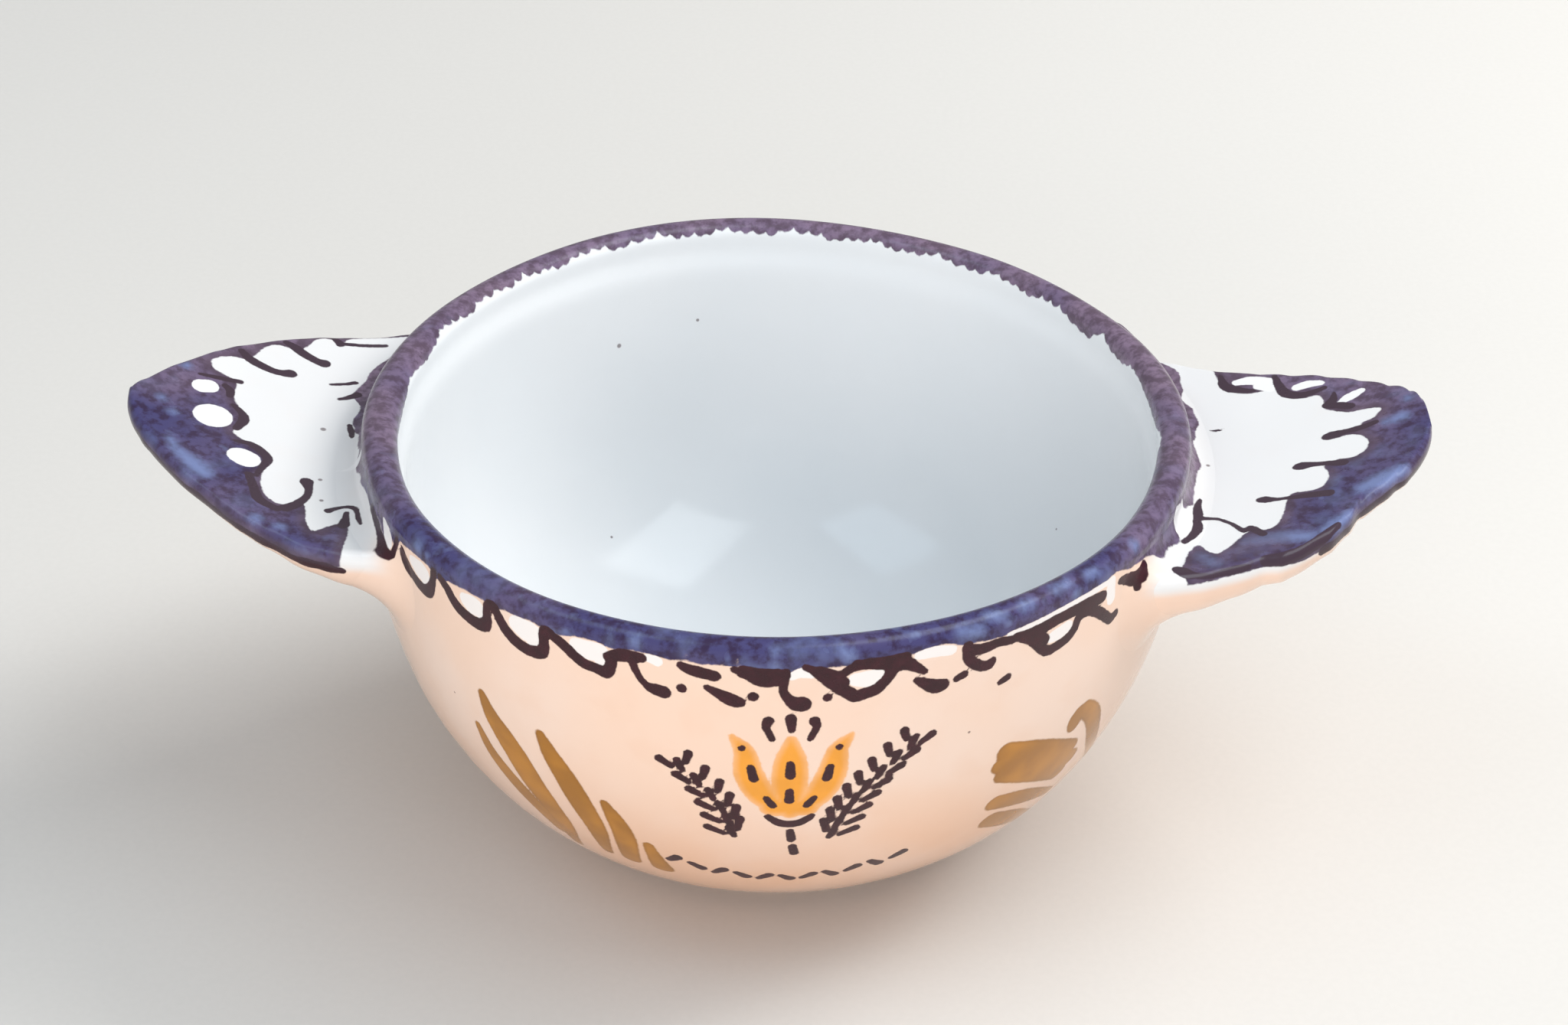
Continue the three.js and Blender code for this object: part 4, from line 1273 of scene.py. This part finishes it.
def seam_points(bowl, side):
    """Loops of the fillet round a lug's root, from the lug's skin to the wall's and back inside."""
    across, face = lug_loop(SEAM_STATIONS)
    root = bowl.lug_points(np.zeros(len(across)), across, face, side)
    x, y, z = side * root[:, 0], root[:, 1], root[:, 2]
    arc = bowl.rim_radius * np.arctan2(y, x)

    # The way out from the root's edge over the wall, evened out where the edge turns.
    out_arc, out_up = unit(np.roll(z, -1) - np.roll(z, 1), np.roll(arc, 1) - np.roll(arc, -1))
    out_arc, out_up = unit(evened(out_arc), evened(out_up))

    def leg(beside, over, under):
        return beside + np.where(out_up > 0, (over - beside) * out_up, (beside - under) * out_up)

    def on_wall(away, off):
        degrees = side * (90 + np.degrees((arc + out_arc * away) / bowl.rim_radius))
        found = bowl.on_outside(degrees, bowl.height - (z + out_up * away))
        found[:, :2] *= 1 + off / np.linalg.norm(found[:, :2], axis=1, keepdims=True)
        found[:, 2] = z + out_up * away
        return found

    def on_lug(reach, off):
        along = reach / (bowl.lug_tip - bowl.rim_radius)
        found = bowl.lug_points(along, across, face, side)
        found[:, 1] += off * out_arc
        found[:, 2] += off * out_up
        return found

    lug_leg, wall_leg = leg(*SEAM_ON_LUG), leg(*SEAM_ON_WALL)
    a, b = on_lug(lug_leg, -0.06), on_lug(lug_leg * 0.3, -0.02)
    c, d = on_wall(wall_leg * 0.3, -0.02), on_wall(wall_leg, -0.1)
    loops = []
    for t in np.linspace(0, 1, SEAM_STEPS):
        loops.append((1 - t) ** 3 * a + 3 * (1 - t) ** 2 * t * b + 3 * (1 - t) * t ** 2 * c + t ** 3 * d)
    return np.stack(loops + [on_wall(wall_leg * 0.5, -1.0), on_lug(lug_leg * 0.2, -0.9)])


class BOWL_OT_seams(bpy.types.Operator):
    """Press a fillet of clay round each lug's root"""
    bl_idname = "bowl.press_seams"
    bl_label = "Press the seams"

    def execute(self, context):
        bowl = Bowl(context.scene.bowl_form)
        work = Brushwork(bowl)
        for side, name in ((1, "right"), (-1, "left")):
            loops = seam_points(bowl, side)
            faces = net(*loops.shape[:2], closed=True, flipped=side > 0)
            points = loops.reshape(-1, 3)
            piece = make_object(f"lug_seam_{name}_body", points, faces, glaze_material(context))
            out = side * points[:, 0]
            border = np.where(out > 53, work.lug_cobalt(points, side), FAR)
            degrees = np.degrees(np.arctan2(points[:, 0], -points[:, 1]))
            on_wall = bowl.on_outside(degrees, np.maximum(bowl.height - points[:, 2], 0))
            off_wall = np.hypot(out, points[:, 1]) - bowl.rim_radius
            above = ((off_wall > 0.3) & (points[:, 2] > bowl.lug_middle(out) - 0.6))[:, None]
            on_lug = np.where(above, bowl.on_lug(out, points[:, 1], side), points)
            share = smooth(0.2, 4.4, off_wall)
            # The wall's painted warm bounce light fades into the lug's.
            warm_bounce = work.warm_bounce(points) * (1 - share) + work.lug_warm_bounce(points, side) * share
            work.lay(piece, points, work.rim_cobalt(points), warm_bounce, border, side, on_wall, on_lug)
            seat(piece, "seam_glaze", f"lug_seam_{name}")
        return {"FINISHED"}


# The lamps, in metres: place, width, height, tint, and whether the glaze mirrors the lamp.
LAMPS = {
    "key": ((0.6, 0.3, 0.62), 0.5, 0.5, (1, 0.97, 0.93), False),
    "front": ((-0.2, -1.0, 0.28), 1.2, 0.5, (1, 0.96, 0.92), False),
    "window_left": ((-0.42, -0.2, 0.84), 0.46, 0.36, (0.62, 0.83, 1), True),
    "window_right": ((0.36, -0.1, 0.84), 0.55, 0.42, (0.86, 0.95, 1), True),
}
LAMP_TARGET = Vector((0, 0, 0.04))
SKY_TINT = (0.9, 0.95, 1, 1)

# The floor runs back and sweeps up into the backdrop, in metres.
FLOOR_HALF, SWEEP_START, SWEEP_RADIUS, BACKDROP_TOP = 3, 1.2, 0.8, 3.0

# The camera, in degrees, metres and millimetres of film.
CAMERA_ELEVATION, CAMERA_AZIMUTH, CAMERA_ROLL = 32.69, 2.6, 0.25
CAMERA_TARGET, CAMERA_DISTANCE = Vector((0.00118, 0, 0.04478)), 0.5
CAMERA_FILM, CAMERA_LENS = 36, 82.09


def soft_light(name, place, width, height, watts, tint, mirrored):
    data = bpy.data.lights.new(name, "AREA")
    data.shape, data.size, data.size_y = "RECTANGLE", width, height
    data.energy, data.color = watts, tint
    made = bpy.data.objects.new(name, data)
    bpy.context.scene.collection.objects.link(made)
    made.location = place
    made.rotation_euler = (LAMP_TARGET - Vector(place)).to_track_quat("-Z", "Y").to_euler()
    made.visible_glossy = mirrored


def camera_matrix():
    elevation, azimuth, roll = map(math.radians, (CAMERA_ELEVATION, CAMERA_AZIMUTH, CAMERA_ROLL))
    flat = math.cos(elevation)
    away = Vector((math.sin(azimuth) * flat, -math.cos(azimuth) * flat, math.sin(elevation)))
    level = Vector((math.cos(azimuth), math.sin(azimuth), 0))
    upright = away.cross(level)
    right = math.cos(roll) * level + math.sin(roll) * upright
    up = math.cos(roll) * upright - math.sin(roll) * level
    turn = Matrix((right, up, away)).transposed().to_4x4()
    return Matrix.Translation(CAMERA_TARGET + CAMERA_DISTANCE * away) @ turn


class BOWL_OT_stage(bpy.types.Operator):
    """Set the floor, the soft lights and the camera"""
    bl_idname = "bowl.set_stage"
    bl_label = "Set the stage"

    def execute(self, context):
        scene, stage = context.scene, context.scene.bowl_stage
        rise = [(y, 0.0) for y in np.linspace(-FLOOR_HALF, SWEEP_START, 22)]
        for t in np.linspace(0.08, math.pi / 2, 20):
            out, up = SWEEP_RADIUS * math.sin(t), SWEEP_RADIUS - SWEEP_RADIUS * math.cos(t)
            rise.append((SWEEP_START + out, up))
        rise.append((SWEEP_START + SWEEP_RADIUS, BACKDROP_TOP))
        points = [(x, y, z) for y, z in rise for x in (-FLOOR_HALF, FLOOR_HALF)]
        faces = [(2 * i, 2 * i + 1, 2 * i + 3, 2 * i + 2) for i in range(len(rise) - 1)]
        floor = make_object("floor", np.array(points) / MM, faces, paper(stage))

        for name, (place, width, height, tint, mirrored) in LAMPS.items():
            soft_light(name, place, width, height, getattr(stage, name), tint, mirrored)
        scene.world = bpy.data.worlds.new("sky")
        scene.world.use_nodes = True
        sky = scene.world.node_tree.nodes["Background"]
        sky.inputs["Color"].default_value = SKY_TINT
        sky.inputs["Strength"].default_value = stage.sky

        data = bpy.data.cameras.new("camera")
        data.sensor_width, data.lens = CAMERA_FILM, CAMERA_LENS
        data.clip_start, data.clip_end = 0.01, 20
        camera = bpy.data.objects.new("camera", data)
        scene.collection.objects.link(camera)
        camera.matrix_world = camera_matrix()
        scene.camera = camera
        scene.view_settings.view_transform = "Standard"
        return {"FINISHED"}


class BOWL_PT_panel(bpy.types.Panel):
    bl_label = "Lug-handled bowl"
    bl_idname = "BOWL_PT_panel"
    bl_space_type = "VIEW_3D"
    bl_region_type = "UI"
    bl_category = "Bowl"

    def draw(self, context):
        for group in ("bowl_form", "bowl_glaze", "bowl_stage"):
            box = self.layout.box()
            values = getattr(context.scene, group)
            for name in type(values).__annotations__:
                box.prop(values, name)
        for operator in OPERATORS:
            self.layout.operator(operator.bl_idname)


OPERATORS = (BOWL_OT_stage, BOWL_OT_wall, BOWL_OT_foot, BOWL_OT_lugs, BOWL_OT_seams)
CLASSES = (BowlForm, BowlGlaze, BowlStage, *OPERATORS, BOWL_PT_panel)


def register():
    for made in CLASSES:
        bpy.utils.register_class(made)
    bpy.types.Scene.bowl_form = PointerProperty(type=BowlForm)
    bpy.types.Scene.bowl_glaze = PointerProperty(type=BowlGlaze)
    bpy.types.Scene.bowl_stage = PointerProperty(type=BowlStage)


def unregister():
    for name in ("bowl_form", "bowl_glaze", "bowl_stage"):
        delattr(bpy.types.Scene, name)
    for made in reversed(CLASSES):
        bpy.utils.unregister_class(made)


def main():
    register()
    bpy.ops.bowl.set_stage()
    bpy.ops.bowl.throw_wall()
    bpy.ops.bowl.turn_foot()
    bpy.ops.bowl.shape_lugs()
    bpy.ops.bowl.press_seams()


if __name__ == "__main__":
    main()
